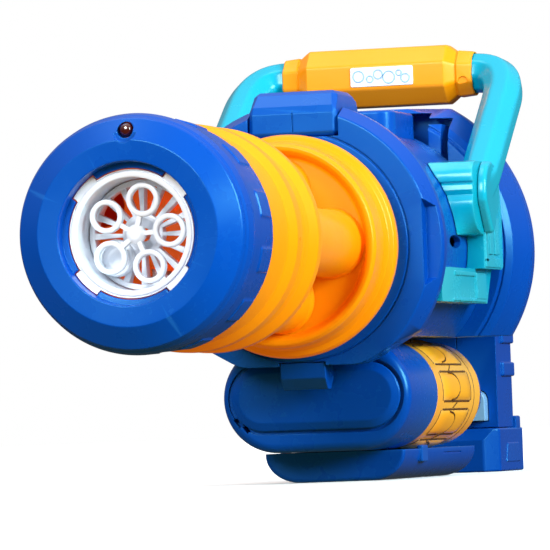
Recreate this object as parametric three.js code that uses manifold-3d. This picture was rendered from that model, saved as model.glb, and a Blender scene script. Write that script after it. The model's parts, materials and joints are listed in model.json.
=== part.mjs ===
// Gatling-style bubble machine: a toy that spins a five-ring wand in its muzzle and blows bubbles.
// Millimetres, +Z up, barrel along Y with the muzzle towards -Y, X across. The design is drawn about
// the barrel axis with Y = 0 at the widest plane of the muzzle, then the whole group is moved so that
// its origin is the middle of the footprint.
import * as THREE from 'three';
import { mergeVertices } from 'three/addons/utils/BufferGeometryUtils.js';
import Module from 'manifold-3d';

const wasm = await Module();
wasm.setup();

// ---------------------------------------------------------------- driving dimensions
const GAP = 0.3; // clearance between pieces that touch
const WALL = 2.5; // moulded wall
const ROUND = 36; // facets round a large circle

const MUZZLE_R = 42; // widest radius of the blue head
const MUZZLE_FRONT = -12.9;
const MUZZLE_REAR = 32.3;
const OPENING_R = 24.7;

const WAND_PITCH_R = 12.2; // centres of the five rings
const WAND_RING_R = 6;
const WAND_RINGS = 5;
const WAND_START_DEG = 76; // direction of the first ring

const COLLAR_R = 40.7; // over its two hoops
const COLLAR_VALLEY_R = 37.8;
const COLLAR_REAR = 102.7;
const BARREL_TUBE_R = 12.7;
const BARREL_TUBE_PITCH_R = 20.2;

const DISH_R = 42.6;
const DISH_FLOOR = 196;
const DISH_NECK_R = 39.4; // behind the rim

const FLANGE_FRONT = 224;
const FLANGE_REAR = 238;
const FLANGE_R = 56;
const FLANGE_FLAT_Z = -44;

const DRUM_R = 50;
const DRUM_REAR = 335;
const BODY_FLAT_Z = -35; // underside of the drum and of the rear flange
const REAR_FLANGE_R = 64.5;
const REAR_FLANGE_REAR = 362;
const REAR_TOP_Z = 57;
const REAR_CAP_REAR = 392;

const TANK_HALF_W = 37.4;
const TANK_HALF_H = 21.3;
const TANK_Z = -57.2;
const TANK_FRONT = 245;
const AMBER_FRONT = 293;
const AMBER_REAR = 369;
const TANK_REAR = 398;

const TRAY_HALF_W = 28.1;
const TRAY_FRONT = 272;
const FLOOR_Z = -90.5;

const TAIL_HALF_W = 17;
const TAIL_REAR = 528;
const TAIL_TOP_Z = 27;
const TAIL_BOTTOM_Z = -28;
const GRIP_FRONT = 494;
const GRIP_REAR = 524;
const FOOT_TOP_Z = -72;

const HANDLE_TUBE_R = 8;
const HANDLE_X = 54.5; // centre of each leg
const HANDLE_GRIP_Y = 374;
const HANDLE_GRIP_Z = 72;
const HANDLE_FOOT_Y = 296;
const HANDLE_FOOT_Z = 20;
const HAND_GRIP_R = 12.6;
const HAND_GRIP_HALF = 29.2;

const COLOURS = {
  blue: { color: 0x0b57c4, roughness: 0.28, metalness: 0 },
  yellow: { color: 0xffae1a, roughness: 0.32, metalness: 0 },
  teal: { color: 0x12c3dc, roughness: 0.3, metalness: 0 },
  white: { color: 0xf0f3f5, roughness: 0.35, metalness: 0 },
  amber: { color: 0xf7a428, roughness: 0.2, metalness: 0 },
  paleBlue: { color: 0x8fc0e8, roughness: 0.35, metalness: 0 },
  red: { color: 0x7a1712, roughness: 0.15, metalness: 0 },
  steel: { color: 0xb9bcc0, roughness: 0.3, metalness: 0.9 },
  black: { color: 0x1d1e20, roughness: 0.5, metalness: 0 },
  green: { color: 0x1f6b3a, roughness: 0.5, metalness: 0 },
};

// ---------------------------------------------------------------- helpers
const machine = new THREE.Group();

function add(name, geometry, colour, position = [0, 0, 0]) {
  const mesh = new THREE.Mesh(geometry, new THREE.MeshStandardMaterial(COLOURS[colour]));
  mesh.name = name;
  mesh.position.set(...position);
  machine.add(mesh);
  return mesh;
}

function toSolid(geometry) {
  const bare = geometry.clone();
  bare.deleteAttribute('normal');
  bare.deleteAttribute('uv');
  const merged = mergeVertices(bare, 1e-4);
  const vertProperties = new Float32Array(merged.attributes.position.array);
  const triVerts = new Uint32Array(merged.index.array);
  return new wasm.Manifold(new wasm.Mesh({ numProp: 3, vertProperties, triVerts }));
}

function toGeometry(solid) {
  const mesh = solid.getMesh();
  const geometry = new THREE.BufferGeometry();
  geometry.setAttribute('position', new THREE.BufferAttribute(new Float32Array(mesh.vertProperties), 3));
  geometry.setIndex(new THREE.BufferAttribute(new Uint32Array(mesh.triVerts), 1));
  return geometry;
}

function cut(body, ...tools) {
  return toGeometry(tools.reduce((solid, tool) => solid.subtract(toSolid(tool)), toSolid(body)));
}

function join(body, ...others) {
  return toGeometry(others.reduce((solid, other) => solid.add(toSolid(other)), toSolid(body)));
}

function box(x0, x1, y0, y1, z0, z1) {
  const geometry = new THREE.BoxGeometry(x1 - x0, y1 - y0, z1 - z0);
  return geometry.translate((x0 + x1) / 2, (y0 + y1) / 2, (z0 + z1) / 2);
}

// A closed profile of [radius, station] pairs turned about the barrel axis, in either direction.
function turned(profile, facets = ROUND) {
  const points = profile.map(([r, y]) => new THREE.Vector2(r, y));
  const faces = THREE.ShapeUtils.area(points) > 0 ? points : points.reverse();
  return new THREE.LatheGeometry(faces, facets);
}

// A solid rod along Y, or a tube where an inner radius is given.
function rod(radius, y0, y1, inner = 0, facets = 24) {
  const profile = [[inner, y0], [radius, y0], [radius, y1], [inner, y1]];
  if (inner > 0) profile.push([inner, y0]);
  return turned(profile, facets);
}

function extrude(shape, depth, curveSegments = 12) {
  return new THREE.ExtrudeGeometry(shape, { depth, bevelEnabled: false, curveSegments });
}

// An outline in (x, z) drawn along Y from y0 to y1.
function alongY(shape, y0, y1, curveSegments = 12) {
  return extrude(shape, y1 - y0, curveSegments).rotateX(Math.PI / 2).translate(0, y1, 0);
}

// An outline in (y, z) drawn along X from x0 to x1.
function alongX(shape, x0, x1, curveSegments = 12) {
  const turn = new THREE.Matrix4().makeBasis(
    new THREE.Vector3(0, 1, 0),
    new THREE.Vector3(0, 0, 1),
    new THREE.Vector3(1, 0, 0),
  );
  return extrude(shape, x1 - x0, curveSegments).applyMatrix4(turn).translate(x0, 0, 0);
}

function roundedRect(u0, u1, v0, v1, r) {
  const shape = new THREE.Shape();
  shape.moveTo(u0 + r, v0);
  shape.lineTo(u1 - r, v0);
  shape.absarc(u1 - r, v0 + r, r, -Math.PI / 2, 0, false);
  shape.lineTo(u1, v1 - r);
  shape.absarc(u1 - r, v1 - r, r, 0, Math.PI / 2, false);
  shape.lineTo(u0 + r, v1);
  shape.absarc(u0 + r, v1 - r, r, Math.PI / 2, Math.PI, false);
  shape.lineTo(u0, v0 + r);
  shape.absarc(u0 + r, v0 + r, r, Math.PI, 1.5 * Math.PI, false);
  return shape;
}

function polygon(points) {
  return new THREE.Shape(points.map(([u, v]) => new THREE.Vector2(u, v)));
}

function disc(radius, u = 0, v = 0) {
  const shape = new THREE.Shape();
  shape.absarc(u, v, radius, 0, 2 * Math.PI, false);
  return shape;
}

function holeIn(shape, radius, u = 0, v = 0) {
  const path = new THREE.Path();
  path.absarc(u, v, radius, 0, 2 * Math.PI, true);
  shape.holes.push(path);
  return shape;
}

// ---------------------------------------------------------------- muzzle head
const LUG_R = 24.4;
const LUG_HALF_ANGLE = THREE.MathUtils.degToRad(12.5);

// The white ring with its four bayonet lugs on the diagonals.
function luggedOutline(ringR, lugR, halfAngle) {
  const shape = new THREE.Shape();
  for (let i = 0; i < 4; i += 1) {
    const middle = Math.PI / 4 + (i * Math.PI) / 2;
    shape.absarc(0, 0, lugR, middle - halfAngle, middle + halfAngle, false);
    shape.absarc(0, 0, ringR, middle + halfAngle, middle + Math.PI / 2 - halfAngle, false);
  }
  return shape;
}

const LED_R = 2.5;
const LED_Z = 35.8;

function muzzleHead() {
  const shell = turned([
    [OPENING_R - 2, -7.6],
    [OPENING_R, -7.8],
    [OPENING_R + 0.3, MUZZLE_FRONT + 0.3],
    [32.3, MUZZLE_FRONT],
    [40, -7.4],
    [MUZZLE_R, 0],
    [41.4, 12],
    [MUZZLE_R - 1.7, MUZZLE_REAR],
    [37.6, MUZZLE_REAR],
    [38.6, 2],
    [36.8, -5.2],
    [OPENING_R - 2, -6],
    [OPENING_R - 2, -7.6],
  ]);
  const lugSeat = alongY(luggedOutline(22.4 + GAP, LUG_R + GAP, LUG_HALF_ANGLE + 0.02), -14, -4, 4);
  const lampHole = rod(LED_R + GAP, -20, 10, 0, 16).translate(0, 0, LED_Z);
  add('muzzle_bezel', cut(shell, lugSeat, lampHole), 'blue');

  const dome = [[0, -2.4], [1.4, -2], [2.2, -1], [LED_R, 0.2], [LED_R, 6], [0, 6]];
  add('status_lamp', turned(dome, 16), 'red', [0, -8.4, LED_Z]);
}

// ---------------------------------------------------------------- bubble cartridge
const GRILLE_Y = 9;
const CUP_R = 6.6;
const CUP_ANGLE = THREE.MathUtils.degToRad(220);

function bubbleCartridge() {
  const RING_FRONT = -6.3;
  const ring = alongY(holeIn(luggedOutline(22.3, LUG_R, LUG_HALF_ANGLE), 19.6), RING_FRONT, -4.2, 4);
  const sleeve = rod(22.3, -4.4, 22, 19.6, 32);
  add('cartridge_ring', join(ring, sleeve), 'white');

  const windows = 16;
  const webHalfAngle = 0.065;
  const wedges = [];
  for (let i = 0; i < windows; i += 1) {
    const start = (i * 2 * Math.PI) / windows + webHalfAngle;
    const sweep = (2 * Math.PI) / windows - 2 * webHalfAngle;
    const corners = [[7.4, 0], [17.3, 0], [17.3, 1], [7.4, 1]];
    const outline = corners.map(([r, t]) => [r * Math.cos(start + t * sweep), r * Math.sin(start + t * sweep)]);
    wedges.push(alongY(polygon(outline), GRILLE_Y - 1, GRILLE_Y + 3));
  }
  add('air_grille', cut(rod(19.3, GRILLE_Y, GRILLE_Y + 2, 2.2, 32), ...wedges), 'white');

  const cup = [[1.3, 0], [CUP_R, 0], [CUP_R, 4], [1.3, 4], [1.3, 0]];
  const cupX = WAND_PITCH_R * Math.cos(CUP_ANGLE);
  const cupZ = WAND_PITCH_R * Math.sin(CUP_ANGLE);
  add('dip_cup', turned(cup, 20), 'white', [cupX, GRILLE_Y - GAP - 4, cupZ]);
}

function bubbleWand() {
  const THICK = 3;
  const pieces = [rod(3.4, 0, THICK, 1.6, 20)];
  for (let i = 0; i < WAND_RINGS; i += 1) {
    const angle = THREE.MathUtils.degToRad(WAND_START_DEG + (i * 360) / WAND_RINGS);
    const x = WAND_PITCH_R * Math.cos(angle);
    const z = WAND_PITCH_R * Math.sin(angle);
    pieces.push(rod(WAND_RING_R, 0, THICK, WAND_RING_R - 1.9, 14).translate(x, 0, z));
    const spoke = box(3, WAND_PITCH_R - WAND_RING_R + 0.6, 0.5, THICK - 0.5, -0.8, 0.8);
    pieces.push(spoke.rotateY(-angle));
  }
  add('bubble_wand', join(...pieces), 'white', [0, -2.5, 0]);
  add('wand_shaft', rod(1.3, -2.5, 30, 0, 12), 'steel');
}

// ---------------------------------------------------------------- wand drive, inside the collar
const WAND_TEETH = 24;
const PINION_TEETH = 8;
const GEAR_MODULE = 1;
const GEAR_DISTANCE = ((WAND_TEETH + PINION_TEETH) * GEAR_MODULE) / 2;

// A spur gear outline; `phase` turns the first tooth away from +X.
function gearOutline(teeth, phase) {
  const pitchR = (teeth * GEAR_MODULE) / 2;
  const points = [];
  for (let i = 0; i < teeth; i += 1) {
    const middle = phase + (i * 2 * Math.PI) / teeth;
    const rootR = pitchR - 1.1;
    const tipR = pitchR + 0.8;
    const corners = [[rootR, -0.85], [tipR, -0.32], [tipR, 0.32], [rootR, 0.85]];
    for (const [r, along] of corners) {
      const angle = middle + along / r;
      points.push([r * Math.cos(angle), r * Math.sin(angle)]);
    }
  }
  return polygon(points);
}

function wandDrive() {
  const wheel = holeIn(gearOutline(WAND_TEETH, -Math.PI / 2), 1.3 + GAP);
  add('wand_gear', alongY(wheel, 25, 29, 4), 'white');
  const pinion = holeIn(gearOutline(PINION_TEETH, Math.PI / 2 + Math.PI / PINION_TEETH), 1.3);
  add('motor_pinion', alongY(pinion, 25, 29, 4), 'steel', [0, 0, -GEAR_DISTANCE]);
  const shaft = rod(1, 24.5, 33, 0, 12);
  const can = rod(8, 33, 56, 0, 24);
  add('wand_motor', join(can, shaft), 'steel', [0, 0, -GEAR_DISTANCE]);

  const plate = disc(34.6);
  for (const angle of [30, 90, 150]) {
    const a = THREE.MathUtils.degToRad(angle);
    holeIn(plate, 7.5, 23 * Math.cos(a), 23 * Math.sin(a));
  }
  holeIn(plate, 1.3 + GAP);
  holeIn(plate, 5, 0, -GEAR_DISTANCE);
  add('drive_plate', alongY(plate, 29.5, 32, 8), 'white');
}

// ---------------------------------------------------------------- yellow barrel
function barrel() {
  add('barrel_collar', turned([
    [37, 22],
    [37.2, MUZZLE_REAR + GAP],
    [37.6, 36],
    [38.2, 60],
    [COLLAR_R, 65],
    [COLLAR_R, 73],
    [COLLAR_VALLEY_R, 77],
    [COLLAR_VALLEY_R, 90],
    [COLLAR_R, 95],
    [COLLAR_R, 101],
    [39.2, COLLAR_REAR],
    [34, COLLAR_REAR],
    [34, 33],
    [35, 32.5],
    [35, 22],
    [37, 22],
  ]), 'yellow');

  const bulkhead = disc(33.7);
  add('collar_bulkhead', alongY(bulkhead, COLLAR_REAR - 4, COLLAR_REAR - 1, 12), 'yellow');

  const tubeNames = ['barrel_tube_right', 'barrel_tube_top', 'barrel_tube_left', 'barrel_tube_bottom'];
  tubeNames.forEach((name, i) => {
    const angle = (i * Math.PI) / 2;
    const x = BARREL_TUBE_PITCH_R * Math.cos(angle);
    const z = BARREL_TUBE_PITCH_R * Math.sin(angle);
    const length = DISH_FLOOR - COLLAR_REAR + 1 - 2 * GAP;
    const tube = rod(BARREL_TUBE_R, 0, length, BARREL_TUBE_R - 2, 28);
    add(name, tube, 'yellow', [x, COLLAR_REAR - 1 + GAP, z]);
  });

  add('barrel_dish', turned([
    [0, DISH_FLOOR],
    [34.4, DISH_FLOOR],
    [36, 192],
    [37.7, 191],
    [38.8, 194],
    [38.8, 205],
    [40.4, 209.4],
    [DISH_R, 210],
    [DISH_R, 213],
    [DISH_NECK_R, 215],
    [DISH_NECK_R, FLANGE_FRONT - GAP],
    [DISH_NECK_R - 4, FLANGE_FRONT - GAP],
    [DISH_NECK_R - 4, DISH_FLOOR + 5],
    [0, DISH_FLOOR + 5],
  ]), 'yellow');
}

// ---------------------------------------------------------------- blue body
// Cuts the flat underside of a turned piece.
function flatUnder(piece, z) {
  return cut(piece, box(-90, 90, 150, 450, -120, z));
}

const LATCH_Y = FLANGE_FRONT + 0.5; // front face of the tank latch

function frontFlange() {
  const ring = turned([
    [30, FLANGE_FRONT],
    [53, FLANGE_FRONT],
    [FLANGE_R, FLANGE_FRONT + 9],
    [FLANGE_R, FLANGE_REAR - GAP],
    [30, FLANGE_REAR - GAP],
    [30, FLANGE_FRONT],
  ]);
  const notch = polygon([[FLANGE_FRONT - 1, -17], [FLANGE_FRONT + 7, -14], [FLANGE_FRONT + 7, 14],
    [FLANGE_FRONT - 1, 17]]);
  const notches = [alongX(notch, 49.5, 60), alongX(notch, -60, -49.5)];
  const blockSeat = box(-17, 17, FLANGE_FRONT - 1, FLANGE_REAR + 1, 42, 60);
  const lugPocket = box(-8.5, 8.5, LATCH_Y + 3, LATCH_Y + 11, FLANGE_FLAT_Z - 2, FLANGE_FLAT_Z + 5);
  add('front_flange', cut(flatUnder(ring, FLANGE_FLAT_Z), ...notches, blockSeat, lugPocket), 'blue');

  const block = polygon([[FLANGE_FRONT, 42 + GAP], [FLANGE_FRONT, 52.5], [230, 60], [256, 60],
    [262, 56], [262, DRUM_R + GAP], [FLANGE_REAR - GAP, DRUM_R + GAP], [FLANGE_REAR - GAP, 42 + GAP]]);
  add('top_block', alongX(block, -17 + GAP, 17 - GAP), 'blue');
}

const BUTTON_Y0 = 290;
const BUTTON_Y1 = 331;
const BUTTON_HALF_W = 23.5;

// Half of the drum: a C of wall that closes on the other half at X = 0. `sign` is +1 for the +X half.
function drumHalf(sign) {
  const edge = GAP / 2;
  const innerR = DRUM_R - WALL;
  const innerFlat = BODY_FLAT_Z + WALL;
  const onSide = (angle) => (sign > 0 ? angle : Math.PI - angle);
  const low = onSide(Math.asin(BODY_FLAT_Z / DRUM_R));
  const high = onSide(Math.PI / 2 - edge / DRUM_R);
  const innerLow = onSide(Math.asin(innerFlat / innerR));
  const innerHigh = onSide(Math.PI / 2 - edge / innerR);
  const shape = new THREE.Shape();
  shape.moveTo(sign * edge, BODY_FLAT_Z);
  shape.absarc(0, 0, DRUM_R, low, high, sign < 0);
  shape.absarc(0, 0, innerR, innerHigh, innerLow, sign > 0);
  shape.lineTo(sign * edge, innerFlat);
  return alongY(shape, FLANGE_REAR, DRUM_REAR - GAP, 10);
}

function drum() {
  const buttonHole = box(-BUTTON_HALF_W - 0.5, BUTTON_HALF_W + 0.5, BUTTON_Y0 - 0.5, BUTTON_Y1 + 0.5, 30, 60);
  const sidePort = rod(2, 0, 20, 0, 12);
  for (const [name, sign] of [['body_shell_right', 1], ['body_shell_left', -1]]) {
    const port = sidePort.clone().rotateZ(-sign * Math.PI / 2).translate(sign * 40, 275, 0);
    add(name, cut(drumHalf(sign), buttonHole, port), 'blue');
  }

  const button = roundedRect(BUTTON_Y0, BUTTON_Y1, 38, 54.5, 5);
  add('power_button', alongX(button, -BUTTON_HALF_W, BUTTON_HALF_W, 5), 'blue');
}

function rearFlange() {
  const ring = turned([
    [30, DRUM_REAR],
    [56, DRUM_REAR],
    [60, DRUM_REAR + 3],
    [REAR_FLANGE_R, 352],
    [REAR_FLANGE_R, 357],
    [62.5, REAR_FLANGE_REAR - GAP],
    [30, REAR_FLANGE_REAR - GAP],
    [30, DRUM_REAR],
  ]);
  const lid = box(-90, 90, 300, 400, REAR_TOP_Z, 90);
  add('rear_flange', cut(flatUnder(ring, BODY_FLAT_Z), lid), 'blue');

  const cap = turned([
    [15, REAR_CAP_REAR],
    [36, REAR_CAP_REAR],
    [42, 378],
    [46, 366],
    [61, REAR_FLANGE_REAR],
    [40, REAR_FLANGE_REAR],
    [38, 378],
    [34, REAR_CAP_REAR - 3],
    [15, REAR_CAP_REAR - 3],
    [15, REAR_CAP_REAR],
  ]);
  const capLid = box(-90, 90, 300, 400, REAR_TOP_Z - 1, 90);
  add('rear_cap', cut(flatUnder(cap, BODY_FLAT_Z + 0.5), capLid), 'blue');
}

// ---------------------------------------------------------------- rear grip and its trigger
const TRIGGER_HALF_W = 13;
const TRIGGER_BOTTOM = FOOT_TOP_Z + WALL + 2 * GAP + 0.1;
const TRIGGER_TOP = -54.5;
const DOOR_THICK = 3;
const CELL_R = 7.1;
const CELL_LENGTH = 50.5;

// Side outline of the tail and the grip under it, in (y, z); `inset` makes the hollow inside it.
function tailOutline(inset) {
  const y0 = REAR_CAP_REAR + GAP + inset;
  const y1 = TAIL_REAR - (inset > 0 ? -1 : 0);
  const shape = new THREE.Shape();
  shape.moveTo(y0, TAIL_BOTTOM_Z + inset);
  shape.lineTo(GRIP_FRONT + inset - 5, TAIL_BOTTOM_Z + inset);
  shape.absarc(GRIP_FRONT + inset - 5, TAIL_BOTTOM_Z + inset - 5, 5, Math.PI / 2, 0, true);
  shape.lineTo(GRIP_FRONT + inset, FOOT_TOP_Z + GAP + inset);
  shape.lineTo(GRIP_REAR - inset, FOOT_TOP_Z + GAP + inset);
  shape.lineTo(GRIP_REAR - inset, TAIL_BOTTOM_Z + inset);
  shape.lineTo(y1, TAIL_BOTTOM_Z + inset);
  shape.lineTo(y1, TAIL_TOP_Z - inset);
  shape.lineTo(y0, TAIL_TOP_Z - inset);
  return shape;
}

function rearGrip() {
  const edge = GAP / 2;
  const inner = TAIL_HALF_W - WALL;
  const window = box(-TRIGGER_HALF_W - GAP, TRIGGER_HALF_W + GAP, GRIP_FRONT - 1, GRIP_FRONT + 4,
    TRIGGER_BOTTOM - GAP, TRIGGER_TOP + GAP);
  const rightShell = alongX(tailOutline(0), edge, TAIL_HALF_W, 4);
  const leftShell = alongX(tailOutline(0), -TAIL_HALF_W, -edge, 4);
  const hollow = alongX(tailOutline(WALL), -inner, inner, 4);
  add('tail_shell_right', cut(rightShell, hollow, window), 'blue');
  add('tail_shell_left', cut(leftShell, hollow, window), 'blue');

  const foot = polygon([[486, FLOOR_Z], [538, FLOOR_Z], [538, -79], [536, FOOT_TOP_Z], [490, FOOT_TOP_Z],
    [486, -77]]);
  add('grip_foot', alongX(foot, -18, 18), 'blue');

  const trigger = roundedRect(-TRIGGER_HALF_W, TRIGGER_HALF_W, TRIGGER_BOTTOM, TRIGGER_TOP, 5);
  const springZ = (TRIGGER_BOTTOM + TRIGGER_TOP) / 2;
  add('trigger', alongY(trigger, GRIP_FRONT - 6, GRIP_FRONT + 6, 5), 'paleBlue');
  add('trigger_switch', box(-5, 5, GRIP_FRONT + 18, GRIP_FRONT + 27, springZ - 5, springZ + 6), 'black');
  add('trigger_spring', helix(3, 0.5, GRIP_FRONT + 6 + GAP, GRIP_FRONT + 13, 4), 'steel', [0, 0, springZ]);

  add('battery_door', alongY(roundedRect(-TAIL_HALF_W, TAIL_HALF_W, TAIL_BOTTOM_Z, TAIL_TOP_Z, 2),
    TAIL_REAR + GAP, TAIL_REAR + GAP + DOOR_THICK, 3), 'blue');
  const cells = [[-1, -1], [1, -1], [-1, 1], [1, 1]];
  cells.forEach(([side, row], i) => {
    const cell = turned([[0, 0], [CELL_R, 0], [CELL_R, CELL_LENGTH - 1.5], [2.5, CELL_LENGTH - 1.5],
      [2.5, CELL_LENGTH], [0, CELL_LENGTH]], 20);
    add(`battery_${i + 1}`, cell, 'black', [side * (CELL_R + 0.1), 470, row * (CELL_R + 0.2) + 4]);
  });
  add('battery_contacts', box(-13.5, 13.5, 468.4, 469.7, -10, 18), 'steel');
}

// A coil spring along Y, as one swept wire.
function helix(radius, wireR, y0, y1, turns) {
  const steps = turns * 8;
  const points = [];
  for (let i = 0; i <= steps; i += 1) {
    const angle = (i * 2 * Math.PI * turns) / steps;
    const y = y0 + wireR + ((y1 - y0 - 2 * wireR) * i) / steps;
    points.push(new THREE.Vector3(radius * Math.cos(angle), y, radius * Math.sin(angle)));
  }
  const path = new THREE.CatmullRomCurve3(points);
  const section = new THREE.Shape();
  section.absarc(0, 0, wireR, 0, 2 * Math.PI, false);
  return new THREE.ExtrudeGeometry(section, { steps, extrudePath: path, curveSegments: 2 });
}

// ---------------------------------------------------------------- tank and base
function stadium(halfW, halfH, z, inset = 0) {
  const r = halfH - inset;
  const half = halfW - halfH;
  const shape = new THREE.Shape();
  shape.moveTo(-half, z - r);
  shape.lineTo(half, z - r);
  shape.absarc(half, z, r, -Math.PI / 2, Math.PI / 2, false);
  shape.lineTo(-half, z + r);
  shape.absarc(-half, z, r, Math.PI / 2, 1.5 * Math.PI, false);
  return shape;
}

// A stadium-section cup with its floor at `floorY` and its mouth at `mouthY`.
function stadiumCup(floorY, mouthY, halfW, halfH) {
  const inward = Math.sign(mouthY - floorY) * WALL;
  const outer = alongY(stadium(halfW, halfH, TANK_Z), Math.min(floorY, mouthY), Math.max(floorY, mouthY), 10);
  const from = floorY + inward;
  const to = mouthY + inward;
  const hollow = alongY(stadium(halfW, halfH, TANK_Z, WALL), Math.min(from, to), Math.max(from, to), 10);
  return cut(outer, hollow);
}

function tank() {
  const cap = stadiumCup(TANK_FRONT, AMBER_FRONT - GAP, TANK_HALF_W, TANK_HALF_H);
  add('tank_front_cap', cap, 'blue');
  const panel = alongY(stadium(31, 13.5, TANK_Z), TANK_FRONT - 1.8, TANK_FRONT - GAP, 10);
  add('tank_front_panel', panel, 'blue');

  const outer = alongY(stadium(TANK_HALF_W, TANK_HALF_H - 0.4, TANK_Z), AMBER_FRONT, AMBER_REAR, 14);
  const inner = alongY(stadium(TANK_HALF_W, TANK_HALF_H - 0.4, TANK_Z, 2), AMBER_FRONT - 1, AMBER_REAR + 1, 14);
  add('solution_tank', cut(outer, inner), 'amber');

  add('tank_rear_cap', stadiumCup(TANK_REAR, AMBER_REAR + GAP, TANK_HALF_W - 3, TANK_HALF_H - 2), 'blue');
}

// A hanging tab in front of the tank, hinged in a pocket under the front flange.
function tankLatch() {
  const top = FLANGE_FLAT_Z - GAP;
  const tab = polygon([[LATCH_Y, top], [LATCH_Y, -50.2], [LATCH_Y + 4, -54.4], [LATCH_Y + 9, -54.4],
    [LATCH_Y + 13, -50], [LATCH_Y + 13, top]]);
  const lug = box(-8, 8, LATCH_Y + 4, LATCH_Y + 9, top - 1, top + 3);
  add('tank_latch', join(alongX(tab, -9.8, 9.8), lug), 'blue');
}

function base() {
  const top = TANK_Z - TANK_HALF_H - GAP;
  const outline = (inset) => {
    const shape = new THREE.Shape();
    const w = TRAY_HALF_W - inset;
    const low = FLOOR_Z + inset;
    const roundW = 14;
    const roundH = 11;
    shape.moveTo(-w + roundW, low);
    shape.lineTo(w - roundW, low);
    shape.absellipse(w - roundW, low + roundH, roundW, roundH, -Math.PI / 2, 0, false);
    shape.lineTo(w, top + (inset > 0 ? 2 : 0));
    shape.lineTo(-w, top + (inset > 0 ? 2 : 0));
    shape.absellipse(-w + roundW, low + roundH, roundW, roundH, Math.PI, 1.5 * Math.PI, false);
    return shape;
  };
  const outer = alongY(outline(0), TRAY_FRONT, TANK_REAR - 0.5, 6);
  const hollow = alongY(outline(WALL), TRAY_FRONT + WALL, TANK_REAR - 0.5 - WALL, 6);
  add('base_tray', cut(outer, hollow), 'blue');
}

// ---------------------------------------------------------------- carry handle and its side brackets
// Centre line of the bail, from one foot over the grip to the other foot.
function handlePath(footY, footZ) {
  const bendAlongLeg = 24;
  const bendAcross = 14;
  const foot = new THREE.Vector3(HANDLE_X, footY, footZ);
  const corner = new THREE.Vector3(HANDLE_X - 1, HANDLE_GRIP_Y, HANDLE_GRIP_Z);
  const down = foot.clone().sub(corner).normalize();
  const right = [
    foot,
    corner.clone().addScaledVector(down, bendAlongLeg),
  ];
  const path = new THREE.CurvePath();
  const mirror = (v) => new THREE.Vector3(-v.x, v.y, v.z);
  const inboard = new THREE.Vector3(HANDLE_X - 1 - bendAcross, HANDLE_GRIP_Y, HANDLE_GRIP_Z);
  path.add(new THREE.LineCurve3(right[0], right[1]));
  path.add(new THREE.QuadraticBezierCurve3(right[1], corner, inboard));
  path.add(new THREE.LineCurve3(inboard, mirror(inboard)));
  path.add(new THREE.QuadraticBezierCurve3(mirror(inboard), mirror(corner), mirror(right[1])));
  path.add(new THREE.LineCurve3(mirror(right[1]), mirror(foot)));
  return path;
}

// The bail as one swept tube; `grow` fattens and lengthens it to cut its own sockets.
function bail(grow = 0) {
  const path = handlePath(HANDLE_FOOT_Y - grow, HANDLE_FOOT_Z - grow);
  const section = disc(HANDLE_TUBE_R + grow);
  return new THREE.ExtrudeGeometry(section, { steps: 32, extrudePath: path, curveSegments: 6 });
}

const BRACKET_OUT = 57; // outer face of each side bracket
const BRACKET_PLATE_OUT = 53; // outer face of its lower plate
const BRACKET_PLATE_TOP = -9.2;
const PADDLE_R = 13.5; // flat foot of each leg, against the bracket
const PADDLE_Z = 18.5;
const PADDLE_THICK = 3.6;

function handle() {
  const paddle = disc(PADDLE_R, HANDLE_FOOT_Y + 5, PADDLE_Z);
  const outer = BRACKET_OUT + PADDLE_THICK;
  const right = alongX(paddle, BRACKET_OUT + GAP, outer, 10);
  const left = alongX(paddle, -outer, -BRACKET_OUT - GAP, 10);
  add('carry_handle', join(bail(), right, left), 'teal');

  const gripProfile = [[HANDLE_TUBE_R + GAP, -39.5], [9.6, -39.5], [10.4, -31], [HAND_GRIP_R, -HAND_GRIP_HALF],
    [HAND_GRIP_R, HAND_GRIP_HALF], [10.4, 31], [9.6, 39.5], [HANDLE_TUBE_R + GAP, 39.5],
    [HANDLE_TUBE_R + GAP, -39.5]];
  const sleeve = turned(gripProfile, 24).rotateZ(-Math.PI / 2);
  const screwHole = rod(1.9, -20, -9.5, 0, 12).translate(35.8, 0, -3.4);
  const front = cut(sleeve, box(-50, 50, -GAP / 2, 20, -20, 20), screwHole);
  const rear = cut(sleeve, box(-50, 50, -20, GAP / 2, -20, 20));
  add('grip_front', front, 'yellow', [0, HANDLE_GRIP_Y, HANDLE_GRIP_Z]);
  add('grip_rear', rear, 'yellow', [0, HANDLE_GRIP_Y, HANDLE_GRIP_Z]);
}

// Teal saddle between the drum and one leg of the handle.
function sideBracket(name, sign) {
  const outline = polygon([[239, -23], [318, -23], [327, -10], [332, -8], [332, 12], [329, 26], [322, 33],
    [286, 33], [281, 27], [281, 19], [279, 14], [281, 8.5], [288, 4.6], [298, 3.6],
    [298, BRACKET_PLATE_TOP], [239, BRACKET_PLATE_TOP]]);
  const from = sign > 0 ? 34 : -BRACKET_OUT;
  const to = sign > 0 ? BRACKET_OUT : -34;
  const slab = alongX(outline, from, to);
  const drumCore = rod(DRUM_R + GAP, 200, 400, 0, ROUND);
  const inner = sign > 0 ? BRACKET_PLATE_OUT : -60;
  const outer = sign > 0 ? 60 : -BRACKET_PLATE_OUT;
  const skirt = box(inner, outer, 230, 400, -30, BRACKET_PLATE_TOP);
  add(name, cut(slab, drumCore, skirt, bail(GAP)), 'teal');
}

// ---------------------------------------------------------------- works inside the drum
const FAN_Y = 262;
const FAN_R = 30;

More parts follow.
